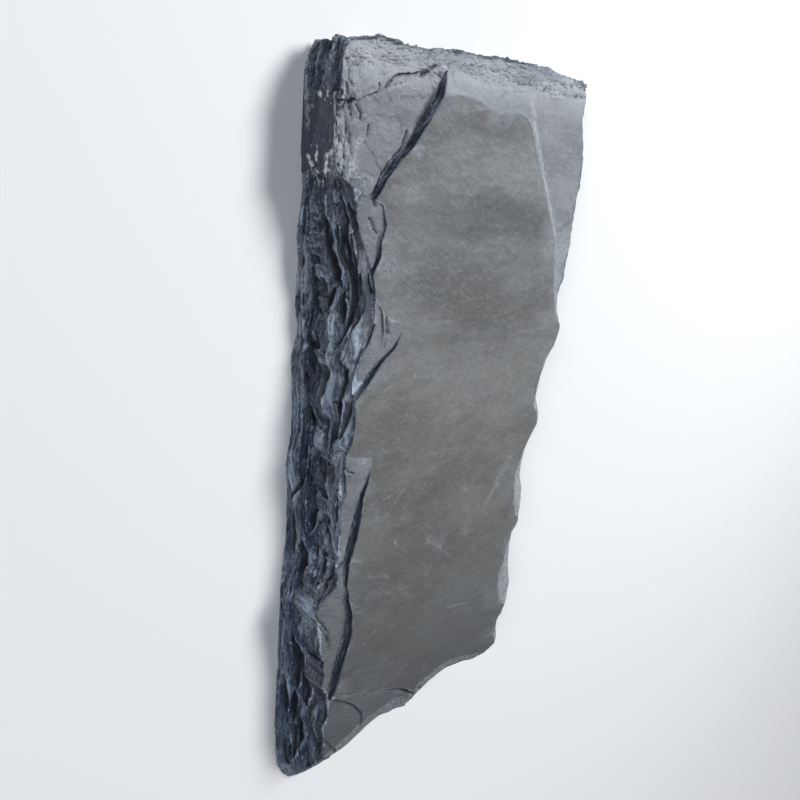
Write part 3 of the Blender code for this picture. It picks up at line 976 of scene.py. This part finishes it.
SPALLS = (
    Spall(
        (
            (-66, 286), (-59, 275), (-44, 277), (-26, 277), (-20, 273), (0, 268), (22, 269), (33, 266),
            (40, 261), (54, 245), (71, 215), (91, 180), (92, 156), (99, 133), (107, 111), (124, 92),
        ),
        0.5, 0.0,
    ),
    Spall(((140, 192), (112, 186), (93, 181), (92, 156), (99, 133), (107, 111), (124, 92)), 0.7, 0.20, 0.35),
    Spall(((120, 84), (103, 71), (97, 43), (95, 26), (116, 12)), 0.6, 0.22, 0.75),
    Spall(((118, 12), (102, 1), (91, -18), (83, -40), (87, -61), (94, -86), (112, -98)), 0.6, 0.20, 0.80),
    Spall(
        ((112, -108), (94, -117), (88, -128), (82, -144), (84, -164), (90, -178), (108, -194)),
        0.6, 0.20, 0.80,
    ),
    Spall(((104, -190), (90, -197), (87, -214), (95, -238)), 0.5, 0.22, 0.60),
    Spall(
        ((82, -240), (62, -226), (43, -222), (26, -217), (7, -219), (-14, -224), (-23, -229), (-27, -248)),
        0.5, 0.25, 0.55,
    ),
    Spall(
        (
            (-12, -250), (-30, -233), (-42, -229), (-52, -230), (-74, -234), (-90, -241),
            (-104, -249), (-126, -270),
        ),
        0.5, 0.18, 0.55,
    ),
)

BRUISES = (
    Patch((-134, 224, 36), (12, 12, 9)),
    Patch((-140, 243, 38), (8, 28, 4), 0.75),
    Patch((-142, -120, 30), (9, 16, 6)),
)

LIGHT_AND_SHADE_PATCHES = (
    Patch((-139, 150, 5), (18, 30, 8), 1.0),
    Patch((-140, 108, 2), (18, 28, 6), 1.0),
    Patch((-130, 110, 20), (18, 26, 8), 0.9),
    Patch((-120, 110, 36), (18, 24, 7), 0.7),
    Patch((-126, 70, 23), (18, 28, 8), 0.9),
    Patch((-118, 72, 36), (18, 26, 8), 0.9),
    Patch((-118, 20, 35), (18, 56, 7), 1.2),
    Patch((-139, -10, 2), (18, 30, 6), 1.0),
    Patch((-121, -52, 31), (20, 30, 9), 1.1),
    Patch((-124, -92, 27), (20, 34, 11), 1.0),
    Patch((-129, -128, 18), (14, 20, 8), 0.8),
    Patch((-123, -208, 28), (14, 20, 6), 0.9),
    Patch((-140, 288, 24), (20, 22, 20), 0.7),
    Patch((-139, 70, 3), (16, 34, 5), 0.5),
    Patch((-122, -118, 36), (14, 34, 7), 0.6),
    Patch((-137, 188, 9), (16, 22, 6), -1.0),
    Patch((-124, 150, 38), (16, 40, 5), -0.5),
    Patch((-128, 30, 17), (16, 28, 7), -1.0),
    Patch((-130, 20, 10), (16, 34, 6), -0.6),
    Patch((-127, -10, 21), (16, 30, 8), -1.0),
    Patch((-138, -235, 4), (18, 56, 7), -0.7),
    Patch((-122, -252, 28), (14, 22, 6), -0.8),
    Patch((-118, -170, 38), (14, 24, 6), -0.8),
)


@dataclass(frozen=True)
class Stone:
    """How one kind of surface of the stone looks."""

    dark: Colour
    mid: Colour
    pale: Colour
    mottle: float
    grain: float
    streak: float
    relief: float


RIVEN_FACE = Stone(
    dark=(0.098, 0.099, 0.099),
    mid=(0.203, 0.204, 0.203),
    pale=(0.335, 0.336, 0.334),
    mottle=0.016,
    grain=0.75,
    streak=0.8,
    relief=0.50,
)
BROKEN_SCAR = Stone(
    dark=(0.168, 0.183, 0.194),
    mid=(0.225, 0.240, 0.252),
    pale=(0.40, 0.41, 0.425),
    mottle=0.045,
    grain=0.85,
    streak=0.35,
    relief=0.80,
)
LAYERED_EDGE = Stone(
    dark=(0.054, 0.082, 0.140),
    mid=(0.295, 0.375, 0.505),
    pale=(0.72, 0.82, 0.95),
    mottle=0.07,
    grain=0.8,
    streak=0.1,
    relief=1.5,
)
JOINT_SKIN: Colour = (0.060, 0.074, 0.108)
JOINT_RUST: Colour = (0.150, 0.145, 0.140)
JOINT_FLECK: Colour = (0.72, 0.74, 0.74)
CRUSHED: Colour = (0.50, 0.53, 0.56)
SHADED: Colour = (0.010, 0.014, 0.022)
BROWNER: Colour = (0.122, 0.119, 0.112)
DULL: Colour = (0.062, 0.064, 0.066)
FRESH_AND_LIT: Colour = (0.42, 0.44, 0.46)
CHALK: Colour = (0.37, 0.385, 0.40)
LIME: Colour = (0.90, 0.92, 0.90)
TOP_BREAK = (264.0, 290.0)
BROWNER_END = (300.0, -120.0)
DULL_END = (40.0, -250.0)
DULL_TIP = (-205.0, -240.0)
SMUDGED_END = (70.0, -90.0)
JOINT_MIDDLE = 244.0
RISER_SHADE_RIM = (39.5, 42.5)


@dataclass(frozen=True)
class Band:
    """A darker stretch of painted shade across the face, as from its slow waves, in millimetres up the slab.
    """

    middle: float
    half: float
    strength: float


SHADE_BANDS = (Band(196.0, 16.0, 0.22), Band(104.0, 15.0, 0.12))


@dataclass(frozen=True)
class Stain:
    """A pale rub or scratch, in millimetres."""

    start: Place
    end: Place
    width: float
    strength: float


STAINS = (
    Stain((73, -19, 45), (58, -42, 45), 8.0, 0.24),
    Stain((58, -40, 45), (46, -60, 45), 5.0, 0.22),
    Stain((26, -68, 45), (20, -76, 45), 7.0, 0.14),
    Stain((-24, -73, 45), (-10, -84, 45), 6.0, 0.30),
    Stain((-9, -86, 45), (9, -102, 45), 3.0, 0.16),
    Stain((11, -154, 45), (38, -160, 45), 2.2, 0.50),
    Stain((-64, -62, 45), (-62, -65, 45), 2.0, 0.60),
    Stain((-82, -20, 45), (-68, -17, 45), 0.8, 0.40),
    Stain((-72, -27, 45), (-56, -13, 45), 0.8, 0.40),
    Stain((-89, -150, 45), (-78, -141, 45), 1.4, 0.50),
    Stain((-99, -173, 45), (-51, -186, 45), 0.9, 0.35),
    Stain((-91, 69, 45), (-83, 74, 45), 0.9, 0.60),
    Stain((-61, 79, 45), (-59, 76, 45), 1.2, 0.55),
    Stain((0, -133, 45), (50, -145, 45), 16.0, 0.12),
    Stain((36, 290, 41), (46, 262, 44), 6.0, 0.75),
    Stain((46, 262, 44), (64, 228, 44), 5.0, 0.75),
    Stain((64, 228, 44), (93, 176, 44), 3.4, 0.75),
    Stain((-88, -106, 45), (-76, -103, 45), 9.0, 0.14),
)


LIME_LINES = (
    Stain((-142, 231, 28), (-139, 215, 23), 2.2, 1.0),
    Stain((-139, 215, 23), (-137, 213, 14), 2.4, 1.0),
    Stain((-137, 213, 14), (-139, 215, 10), 2.2, 1.0),
    Stain((-142, 235, 18), (-141, 228, 16), 2.0, 0.90),
    Stain((-142, 229, 8), (-141, 223, 11), 2.2, 0.85),
    Stain((-138, 220, 14), (-138, 217, 12), 2.4, 0.90),
    Stain((-143, 265, 33), (-143, 252, 36), 1.8, 0.60),
    Stain((-143, 252, 36), (-143, 235, 37), 1.8, 0.60),
    Stain((-143, 235, 37), (-142, 231, 28), 2.2, 0.75),
    Stain((-141, 272, 16), (-142, 266, 18), 2.4, 0.85),
    Stain((-141, 272, 24), (-142, 268, 25), 2.4, 0.80),
    Stain((-142, 266, 4), (-142, 245, 7), 3.2, 0.30),
)


class Graph:
    """One tree of shader nodes."""

    def __init__(self, tree: bpy.types.NodeTree) -> None:
        """Takes over the tree that nodes are added to."""
        self.tree = tree

    def put(self, socket: Socket, value: object) -> None:
        """Gives a socket a constant, or links another socket to it.

        Args:
            socket: The socket that gets it.
            value: The constant, or the other socket.
        """
        if isinstance(value, Socket):
            self.tree.links.new(value, socket)
        elif isinstance(value, tuple) and len(value) == 3 and socket.type == "RGBA":
            socket.default_value = (*value, 1.0)
        else:
            socket.default_value = value

    def add(self, kind: str, inputs: dict | None = None, **settings: object) -> bpy.types.Node:
        """Adds a node.

        Args:
            kind: The node's type, without its ShaderNode prefix.
            inputs: Value or socket for each input, by name or number.
            settings: The node's own settings.

        Returns:
            The node.
        """
        node = self.tree.nodes.new("ShaderNode" + kind)
        for name, value in settings.items():
            setattr(node, name, value)
        for name, value in (inputs or {}).items():
            self.put(node.inputs[name], value)
        return node

    def math(self, operation: str, *values: object) -> Socket:
        """The result of a Math node."""
        return self.add("Math", dict(enumerate(values)), operation=operation).outputs[0]

    def product(self, *values: object) -> Socket:
        """Several values multiplied."""
        return functools.reduce(functools.partial(self.math, "MULTIPLY"), values)

    def total(self, *values: object) -> Socket:
        """Several values added."""
        return functools.reduce(functools.partial(self.math, "ADD"), values)

    def vector(self, operation: str, *values: object) -> bpy.types.Node:
        """A Vector Math node."""
        return self.add("VectorMath", dict(enumerate(values)), operation=operation)

    def mix(self, share: object, low: object, high: object) -> Socket:
        """Colours mixed by a share, which is 0 for the first and 1 for the second."""
        return self.add("Mix", {0: share, 6: low, 7: high}, data_type="RGBA").outputs[2]

    def step(self, value: object, low: float, high: float, bottom: float = 0.0, top: float = 1.0) -> Socket:
        """A smooth step.

        Args:
            value: What is stepped.
            low: Where the step begins. It may be above high, for a step down.
            high: Where it ends.
            bottom: The result before the step.
            top: The result after it.

        Returns:
            The stepped value's socket.
        """
        if low > high:
            low, high, bottom, top = high, low, top, bottom
        inputs = {"Value": value, "From Min": low, "From Max": high, "To Min": bottom, "To Max": top}
        return self.add("MapRange", inputs, interpolation_type="SMOOTHSTEP").outputs[0]

    def tint(
        self, colour: object, tone: object, value: object, low: float, high: float, share: float = 1.0
    ) -> Socket:
        """A colour with a tone over it, which shows from low and reaches its share at high."""
        return self.mix(self.step(value, low, high, 0.0, share), colour, tone)

    def place(self, scale: Place = EVEN, turn: float = 0.0) -> Socket:
        """Places on the object, in millimetres, turned in plan and then scaled.

        Args:
            scale: How much they are scaled along each axis.
            turn: How far they are turned.

        Returns:
            The places' socket.
        """
        spot = self.add("TexCoord").outputs["Object"]
        turned = self.add("VectorRotate", {"Vector": spot, "Angle": turn}, rotation_type="Z_AXIS")
        return self.vector("MULTIPLY", turned.outputs[0], tuple(value / MM for value in scale)).outputs[0]

    def axis(self, number: int, scale: Place = EVEN) -> Socket:
        """Each place's measure along one axis, in millimetres times the scale."""
        return self.add("SeparateXYZ", {0: self.place(scale)}).outputs[number]

    def noise(self, scale: Place, size: object, detail: float, rough: float, turn: float = 0.0) -> Socket:
        """Noise from 0 to 1, read at scaled and turned places."""
        inputs = {"Vector": self.place(scale, turn), "Scale": size, "Detail": detail, "Roughness": rough}
        return self.add("TexNoise", inputs).outputs[0]

    def swayed(self, value: object, reach: float) -> Socket:
        """A measure that slowly sways up and down by a reach, in millimetres."""
        sway = self.noise((0.02, 0.02, 0.02), 1.0, 3.0, 0.6)
        return self.total(value, self.step(sway, 0.3, 0.7, -reach, reach))


class ShaderGroup:
    """A node group that the finish uses more than once."""

    name = ""
    inputs: dict[str, str] = {}
    outputs: dict[str, str] = {}

    def __init__(self) -> None:
        """Builds the group."""
        self.tree = bpy.data.node_groups.new(self.name, "ShaderNodeTree")
        for direction, sockets in (("INPUT", self.inputs), ("OUTPUT", self.outputs)):
            for name, kind in sockets.items():
                self.tree.interface.new_socket(name=name, in_out=direction, socket_type="NodeSocket" + kind)
        self.graph = Graph(self.tree)
        self.source = self.tree.nodes.new("NodeGroupInput").outputs
        target = self.tree.nodes.new("NodeGroupOutput").inputs
        for name, value in self.wire().items():
            self.graph.put(target[name], value)

    def wire(self) -> dict[str, Socket]:
        """Adds the group's nodes, and tells what each output gets."""
        raise NotImplementedError

    def use(self, graph: Graph, *values: object) -> dict[str, Socket]:
        """Places the group in a graph.

        Args:
            graph: Where it is placed.
            values: A value or socket for each input, in order.

        Returns:
            The outputs, by name.
        """
        node = graph.add("Group", node_tree=self.tree)
        for socket, value in zip(node.inputs, values):
            graph.put(socket, value)
        return {socket.name: socket for socket in node.outputs}


class GrainGroup(ShaderGroup):
    """The grain of the stone: soft mottling, fine grit and short slanting striae."""

    name = "stone_grain"
    inputs = dict.fromkeys(("Dark", "Mid", "Pale"), "Color") | dict.fromkeys(
        ("Mottle", "Grain", "Streak", "Relief"), "Float"
    )
    outputs = {"Color": "Color", "Height": "Float"}
    stria_turn = math.radians(41.0)

    def wire(self) -> dict[str, Socket]:
        """Adds the group's nodes.

        Returns:
            What each output gets.
        """
        graph, source = self.graph, self.source
        dark, pale = source["Dark"], source["Pale"]
        clouds = graph.noise((0.5, 1.3, 1.0), source["Mottle"], 5.0, 0.62)
        crumple = graph.noise((0.42, 0.95, 0.8), graph.product(source["Grain"], 0.42), 4.0, 0.72)
        fine = graph.noise((0.8, 1.0, 1.3), source["Grain"], 4.0, 0.75)
        stria = graph.noise((0.11, 0.85, 0.7), 1.0, 3.0, 0.6, self.stria_turn)
        lines = graph.product(graph.step(stria, 0.55, 0.68), source["Streak"])
        furrows = graph.product(graph.step(stria, 0.44, 0.33), source["Streak"])
        colour = graph.tint(dark, source["Mid"], clouds, 0.36, 0.64)
        colour = graph.tint(colour, pale, crumple, 0.50, 0.68, 0.30)
        colour = graph.tint(colour, dark, crumple, 0.50, 0.34, 0.34)
        colour = graph.tint(colour, pale, fine, 0.54, 0.74, 0.42)
        colour = graph.tint(colour, dark, fine, 0.46, 0.28, 0.42)
        colour = graph.mix(graph.product(lines, 0.30), colour, pale)
        colour = graph.mix(graph.product(furrows, 0.30), colour, dark)
        striae = graph.product(graph.math("SUBTRACT", lines, furrows), 0.22)
        bumps = graph.total(graph.product(crumple, 0.9), graph.product(fine, 0.8), striae)
        return {"Color": colour, "Height": graph.product(bumps, source["Relief"])}


class RubGroup(ShaderGroup):
    """A frayed mark along a straight line."""

    name = "pale_rub"
    inputs = {"Start": "Vector", "Along": "Vector", "Reach": "Float", "Width": "Float"}
    outputs = {"Mask": "Float"}

    def wire(self) -> dict[str, Socket]:
        """Adds the group's nodes.

        Returns:
            What each output gets.
        """
        graph, source = self.graph, self.source
        away = graph.vector("SUBTRACT", graph.place(), source["Start"]).outputs[0]
        run = graph.vector("DOT_PRODUCT", away, source["Along"]).outputs["Value"]
        run = graph.add("Clamp", {"Value": graph.product(run, source["Reach"])}).outputs[0]
        nearest = graph.add("VectorMath", {0: source["Along"], "Scale": run}, operation="SCALE").outputs[0]
        gap = graph.vector("DISTANCE", away, nearest).outputs["Value"]
        fray = graph.noise(EVEN, 0.22, 4.0, 0.7)
        share = graph.math("DIVIDE", gap, source["Width"])
        share = graph.total(share, graph.step(fray, 0.3, 0.7, 0.7, -0.5))
        return {"Mask": graph.step(share, 1.0, 0.2)}


class BluestoneMaterial:
    """The slab's finish: a riven face, broken scars, layered edges and a stained joint."""

    def __init__(self) -> None:
        """Starts the material, and reads what the mesh says about each place."""
        self.material = bpy.data.materials.new("bluestone")
        self.material.use_nodes = True
        self.graph = Graph(self.material.node_tree)
        self.marks = {
            mark: self.graph.add("Attribute", attribute_name=mark.value).outputs["Fac"] for mark in Mark
        }
        self.rub = RubGroup()

    def build(self) -> bpy.types.Material:
        """Makes the material.

        Returns:
            The material.
        """
        graph, marks = self.graph, self.marks
        grain = GrainGroup()
        stones = (RIVEN_FACE, BROKEN_SCAR, LAYERED_EDGE)
        face, scar, edge = (grain.use(graph, *astuple(stone)) for stone in stones)
        along = graph.axis(1)
        # Scars grow paler towards the top end: partly fresh broken stone, partly painted light on the top
        # end.
        broken = graph.tint(scar["Color"], FRESH_AND_LIT, along, *TOP_BREAK, 0.72)
        colour = graph.mix(marks[Mark.SCAR], self.face_colour(face["Color"], along), broken)
        colour = self.rub_on(colour, STAINS, CHALK)
        # The face grows darker towards the lower end and the pointed tip.
        colour = graph.tint(colour, DULL, along, *DULL_END, 0.70)
        colour = graph.tint(colour, DULL, along, *DULL_TIP, 0.28)
        off_riser = graph.step(marks[Mark.RISER], 0.2, 1.0, 1.0, 0.3)
        # Painted shade in the thin gaps between the edge's layers.
        gap_shade, layers = self.layers()
        gap_shade = graph.product(gap_shade, graph.math("SUBTRACT", 1.0, marks[Mark.LEDGE]), off_riser)
        broken = graph.mix(gap_shade, self.edge_colour(edge["Color"], scar["Color"]), SHADED)
        colour = graph.mix(marks[Mark.WALL], colour, broken)
        colour = graph.mix(marks[Mark.JOINT], colour, self.joint())
        colour = self.rub_on(colour, LIME_LINES, LIME)
        colour = graph.mix(self.crushed(), colour, CRUSHED)
        colour = self.shade(colour, off_riser)
        scar_height = graph.product(scar["Height"], marks[Mark.SCAR])
        edge_height = graph.product(graph.total(edge["Height"], layers), marks[Mark.WALL])
        height = graph.total(face["Height"], graph.total(scar_height, edge_height))
        bump = graph.add("Bump", {"Strength": 1.0, "Distance": MM, "Height": height})
        shader = self.material.node_tree.nodes["Principled BSDF"]
        graph.put(shader.inputs["Base Color"], colour)
        graph.put(shader.inputs["Normal"], bump.outputs[0])
        graph.put(shader.inputs["Roughness"], graph.step(marks[Mark.WALL], 0.0, 1.0, 0.74, 0.48))
        shader.inputs["Specular IOR Level"].default_value = 0.45
        return self.material

    def face_colour(self, colour: Socket, along: Socket) -> Socket:
        """The face's colour, which is darker and browner towards the pointed end.

        Args:
            colour: The fresh grain's colour.
            along: How far up the slab each place is.

        Returns:
            The colour's socket.
        """
        graph = self.graph
        colour = graph.tint(colour, BROWNER, along, *BROWNER_END, 0.55)
        swayed = graph.swayed(along, 14.0)
        low = graph.step(along, *SMUDGED_END, 0.25, 1.0)
        smudge = graph.noise((1.0, 1.5, 1.0), 0.05, 6.0, 0.68, 0.5)
        specks = graph.noise(EVEN, 0.55, 3.0, 0.6)
        for tone, share in (
            (CHALK, graph.step(smudge, 0.54, 0.72, 0.0, 0.34)),
            (DULL, graph.step(smudge, 0.46, 0.30, 0.0, 0.42)),
            (CHALK, graph.step(specks, 0.66, 0.74, 0.0, 0.45)),
        ):
            colour = graph.mix(graph.product(share, low), colour, tone)
        # Darker bands of painted shade across the face.
        for band in SHADE_BANDS:
            away = graph.math("ABSOLUTE", graph.math("SUBTRACT", swayed, band.middle))
            colour = graph.tint(colour, DULL, away, band.half, 0.4 * band.half, band.strength)
        return colour

    def rub_on(self, colour: Socket, stains: tuple[Stain, ...], tone: Colour) -> Socket:
        """Rubs marks over a colour.

        Args:
            colour: What the marks are on.
            stains: The marks.
            tone: Their colour.

        Returns:
            The colour's socket.
        """
        for stain in stains:
            start = Vector(stain.start)
            reach = Vector(stain.end) - start
            mask = self.rub.use(self.graph, start, reach, 1.0 / reach.length_squared, stain.width)["Mask"]
            colour = self.graph.mix(self.graph.product(mask, stain.strength), colour, tone)
        return colour

    def layers(self) -> tuple[Socket, Socket]:
        """The thin layers of a broken edge.

        Returns:
            How much painted shade of a gap between layers each place gets, and how far it stands out in
            millimetres.
        """
        graph = self.graph
        fray = graph.noise((0.4, 0.4, 0.5), 1.0, 3.0, 0.6)
        level = graph.product(self.marks[Mark.BED], BED_SPAN / LAYER)
        level = graph.total(level, graph.step(fray, 0.2, 0.8, -0.5, 0.5))
        leaning = graph.total(graph.axis(1, (1.0, 0.022, 1.0)), graph.product(level, 0.45))
        place = graph.add("CombineXYZ", {0: graph.axis(0, (0.035, 1.0, 1.0)), 1: leaning, 2: level})
        inputs = {"Vector": place.outputs[0], "Scale": 1.0}
        gap = graph.add("TexVoronoi", inputs, feature="DISTANCE_TO_EDGE").outputs["Distance"]
        patchy = graph.noise((0.05, 0.05, 0.14), 1.0, 3.0, 0.6)
        shown = graph.step(patchy, 0.36, 0.56, 0.3, 1.0)
        dark = graph.product(graph.step(gap, 0.22, 0.04), shown)
        return dark, graph.product(graph.step(gap, 0.0, 0.3), 1.6)

    def edge_colour(self, colour: Socket, scar: Socket) -> Socket:
        """The broken edge's colour: painted shade between and under its layers, and pale where they stand
        out, from wear and painted light.

        Args:
            colour: The layered edge's own colour.
            scar: The colour of freshly broken stone.

        Returns:
            The colour's socket.
        """
        graph, marks = self.graph, self.marks
        dark, pale = LAYERED_EDGE.dark, LAYERED_EDGE.pale
        fibres = graph.noise((0.07, 0.07, 0.75), 1.0, 4.0, 0.65)
        colour = graph.tint(colour, dark, fibres, 0.52, 0.38, 0.75)
        colour = graph.tint(colour, pale, fibres, 0.54, 0.70, 0.55)
        height = graph.axis(2)
        low = graph.swayed(height, 3.0)
        # The up-facing ledges take the paler scar tone: partly fresh broken stone, partly painted light from
        # above.
        ledge = graph.product(marks[Mark.LEDGE], graph.step(low, 20.0, 30.0, 0.2, 0.75))
        colour = graph.mix(ledge, colour, scar)
        # Painted shade over the recess between about 6 and 25 mm up.
        shade = graph.product(graph.step(low, 5.5, 9.0), graph.step(low, 25.0, 18.0), 0.80)
        colour = graph.mix(shade, colour, dark)
        # Painted light on the lower strip of the edge, as from the pale floor beside it.
        upright = graph.math("SUBTRACT", 1.0, marks[Mark.LEDGE])
        lit_foot = graph.product(upright, graph.step(low, 9.0, 4.0, 0.0, 0.70))
        colour = graph.mix(lit_foot, colour, pale)
        speckle = graph.noise((0.42, 0.16, 0.8), 1.0, 4.0, 0.8)
        colour = graph.tint(colour, pale, speckle, 0.53, 0.68, 0.50)
        colour = graph.tint(colour, dark, speckle, 0.48, 0.34, 0.55)
        # Painted light on the edge's paler patches, painted shade on its darker ones.
        colour = graph.tint(colour, pale, marks[Mark.LIGHT_AND_SHADE], 0.5, 1.0, 0.75)
        colour = graph.tint(colour, dark, marks[Mark.LIGHT_AND_SHADE], 0.5, 0.0, 0.80)
        # Painted shade on the flakes' risers, with a near-black painted shadow line at their top beside the
        # face.
        rim = graph.product(marks[Mark.RISER], graph.step(height, *RISER_SHADE_RIM))
        colour = graph.mix(graph.product(marks[Mark.RISER], 0.12), colour, dark)
        colour = graph.mix(graph.product(rim, 0.75), colour, SHADED)
        # Pale ridges: partly wear, partly painted highlight.
        broken = graph.noise(EVEN, 0.35, 3.0, 0.6)
        ridges = graph.step(marks[Mark.RIDGE], 0.25, 0.9)
        worn_and_lit = graph.product(ridges, graph.step(broken, 0.38, 0.64, 0.0, 0.75))
        return graph.mix(worn_and_lit, colour, pale)

    def shade(self, colour: Socket, off_riser: Socket) -> Socket:
        """Paints shade into the seams, hollows and crevices, and paints highlight on the edges over the
        seams.

        Args:
            colour: The colour so far.
            off_riser: How much of the shade shows, which is less on the flakes' risers.

        Returns:
            The colour's socket.
        """
        graph, marks = self.graph, self.marks
        below = graph.product(graph.math("SUBTRACT", marks[Mark.SEAM], 0.5), SEAM_SPAN)
        near = graph.step(marks[Mark.NEAR], 0.1, 0.5)
        # Painted shade under each seam's overhang.
        edges = graph.product(graph.step(below, -0.75, -0.3), graph.step(below, 3.0, 0.2))
        # Painted shade in the hollows and crevices.
        hollow = graph.product(marks[Mark.HOLLOW], off_riser, 0.72)
        sunk_shade = graph.math("MAXIMUM", hollow, graph.product(marks[Mark.GROOVE], 0.7))
        sunk_shade = graph.math("MAXIMUM", sunk_shade, graph.product(edges, near, marks[Mark.WALL], 0.95))
        # Painted highlight just over each seam.
        lit = graph.product(graph.step(below, -3.2, -1.6), graph.step(below, -0.7, -1.1))
        lit = graph.product(lit, near, marks[Mark.WALL], 0.40)
        colour = graph.mix(lit, colour, LAYERED_EDGE.pale)
        return graph.mix(sunk_shade, colour, SHADED)

    def joint(self) -> Socket:
        """The dark skin of the natural joint, with its pale and rusty flecks.

        Returns:
            The colour's socket.
        """
        graph = self.graph
        ends = graph.math("ABSOLUTE", graph.math("SUBTRACT", graph.axis(1), JOINT_MIDDLE))
        flecks = graph.noise((1.0, 0.7, 1.0), 0.42, 4.0, 0.7)
        flecks = graph.total(flecks, graph.step(ends, 8.0, 25.0, -0.05, 0.03))
        rust = graph.noise((1.0, 0.7, 1.0), 0.2, 3.0, 0.6)
        colour = graph.tint(JOINT_SKIN, JOINT_RUST, rust, 0.46, 0.64, 0.4)
        return graph.tint(colour, JOINT_FLECK, flecks, 0.60, 0.66)

    def crushed(self) -> Socket:
        """How much of the stone is crushed to dust."""
        broken = self.graph.noise(EVEN, 0.5, 5.0, 0.75)
        return self.graph.product(self.marks[Mark.CRUSH], self.graph.step(broken, 0.40, 0.62, 0.05, 0.9))


@dataclass(frozen=True)
class Sun:
    """One distant soft light."""

    name: str
    comes_from: Place
    strength: float
    spread: float
    tone: Colour


SUNS = (
    Sun("key", (0.60, 0.35, 0.72), 1.65, 18.0, (1.0, 0.985, 0.95)),
    Sun("fill", (-0.78, 0.36, 0.51), 1.60, 22.0, (0.88, 0.93, 1.0)),
)


@dataclass
class Studio:
    """The floor, the light and the camera."""

    floor_half: float = 12.0
    floor_tone: Colour = (0.80, 0.79, 0.775)
    lamp_from: Place = (0.9, 1.0, 1.25)
    lamp_size: float = 0.7
    lamp_power: float = 22.0
    lamp_tone: Colour = (0.90, 0.95, 1.0)
    air_tone: Colour = (0.66, 0.78, 1.0)
    air_strength: float = 0.13
    backdrop_tone: Colour = (0.72, 0.75, 0.80)
    eye: Place = (-0.45609, 0.24953, 0.43239)
    eye_right: Place = (0.7302, 0.0892, 0.6774)
    eye_up: Place = (0.1618, 0.9406, -0.2984)
    lens: float = 34.83
    sensor: float = 36.0

    def build(self) -> None:
        """Sets the whole studio up."""
        self.lay_floor()
        self.light()
        self.aim_camera()

    def lay_floor(self) -> None:
        """A plain pale floor just under the slab."""
        shape = bmesh.new()
        bmesh.ops.create_grid(shape, x_segments=1, y_segments=1, size=self.floor_half)
        bmesh.ops.translate(shape, verts=shape.verts, vec=(0.0, 0.0, -0.1 * MM))
        mesh = bpy.data.meshes.new("floor")
        shape.to_mesh(mesh)
        shape.free()
        floor = bpy.data.objects.new("floor", mesh)
        bpy.context.scene.collection.objects.link(floor)
        paint = bpy.data.materials.new("pale_floor")
        paint.use_nodes = True
        shader = paint.node_tree.nodes["Principled BSDF"]
        shader.inputs["Base Color"].default_value = (*self.floor_tone, 1.0)
        shader.inputs["Roughness"].default_value = 1.0
        shader.inputs["Specular IOR Level"].default_value = 0.0
        mesh.materials.append(paint)

    def light(self) -> None:
        """Soft light from above on the right, a weaker one from the left, and a weak glow all round."""
        for sun in SUNS:
            lamp = bpy.data.lights.new(sun.name, "SUN")
            lamp.energy = sun.strength
            lamp.angle = math.radians(sun.spread)
            self.hang(lamp, sun.comes_from, sun.tone)
        near = bpy.data.lights.new("near_lamp", "AREA")
        near.shape = "DISK"
        near.size = self.lamp_size
        near.energy = self.lamp_power
        self.hang(near, self.lamp_from, self.lamp_tone)
        world = bpy.data.worlds.new("air")
        world.use_nodes = True
        graph = Graph(world.node_tree)
        seen = graph.add("LightPath").outputs["Is Camera Ray"]
        background = world.node_tree.nodes["Background"]
        graph.put(background.inputs[0], graph.mix(seen, self.air_tone, self.backdrop_tone))
        graph.put(background.inputs[1], graph.step(seen, 0.0, 1.0, self.air_strength, 1.0))
        bpy.context.scene.world = world
        bpy.context.scene.view_settings.view_transform = "Standard"

    @staticmethod
    def hang(lamp: bpy.types.Light, place: Place, tone: Colour) -> None:
        """Puts a light up, facing the slab's middle.

        Args:
            lamp: The light.
            place: Where it hangs.
            tone: Its colour.
        """
        lamp.color = tone
        holder = bpy.data.objects.new(lamp.name, lamp)
        holder.location = place
        holder.rotation_euler = Vector(place).to_track_quat("Z", "Y").to_euler()
        bpy.context.scene.collection.objects.link(holder)

    def aim_camera(self) -> None:
        """Stands the camera where it looks down on the slab's left edge and face."""
        lens = bpy.data.cameras.new("camera")
        lens.lens = self.lens
        lens.sensor_width = self.sensor
        camera = bpy.data.objects.new("camera", lens)
        right, above = Vector(self.eye_right), Vector(self.eye_up)
        turn = Matrix((right, above, right.cross(above))).transposed()
        camera.matrix_world = Matrix.Translation(self.eye) @ turn.to_4x4()
        bpy.context.scene.collection.objects.link(camera)
        bpy.context.scene.camera = camera


def main() -> None:
    """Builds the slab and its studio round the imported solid."""
    logging.basicConfig(level=logging.INFO, format="%(message)s")
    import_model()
    slab = RivenSlab(CRACKS, SEAMS, SPALLS, BRUISES, LIGHT_AND_SHADE_PATCHES).build()
    slab.data.materials.append(BluestoneMaterial().build())
    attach(slab, "root")
    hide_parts(NODE)
    LOG.info("riven_slab: %d points", len(slab.data.vertices))
    Studio().build()


if __name__ == "__main__":
    main()
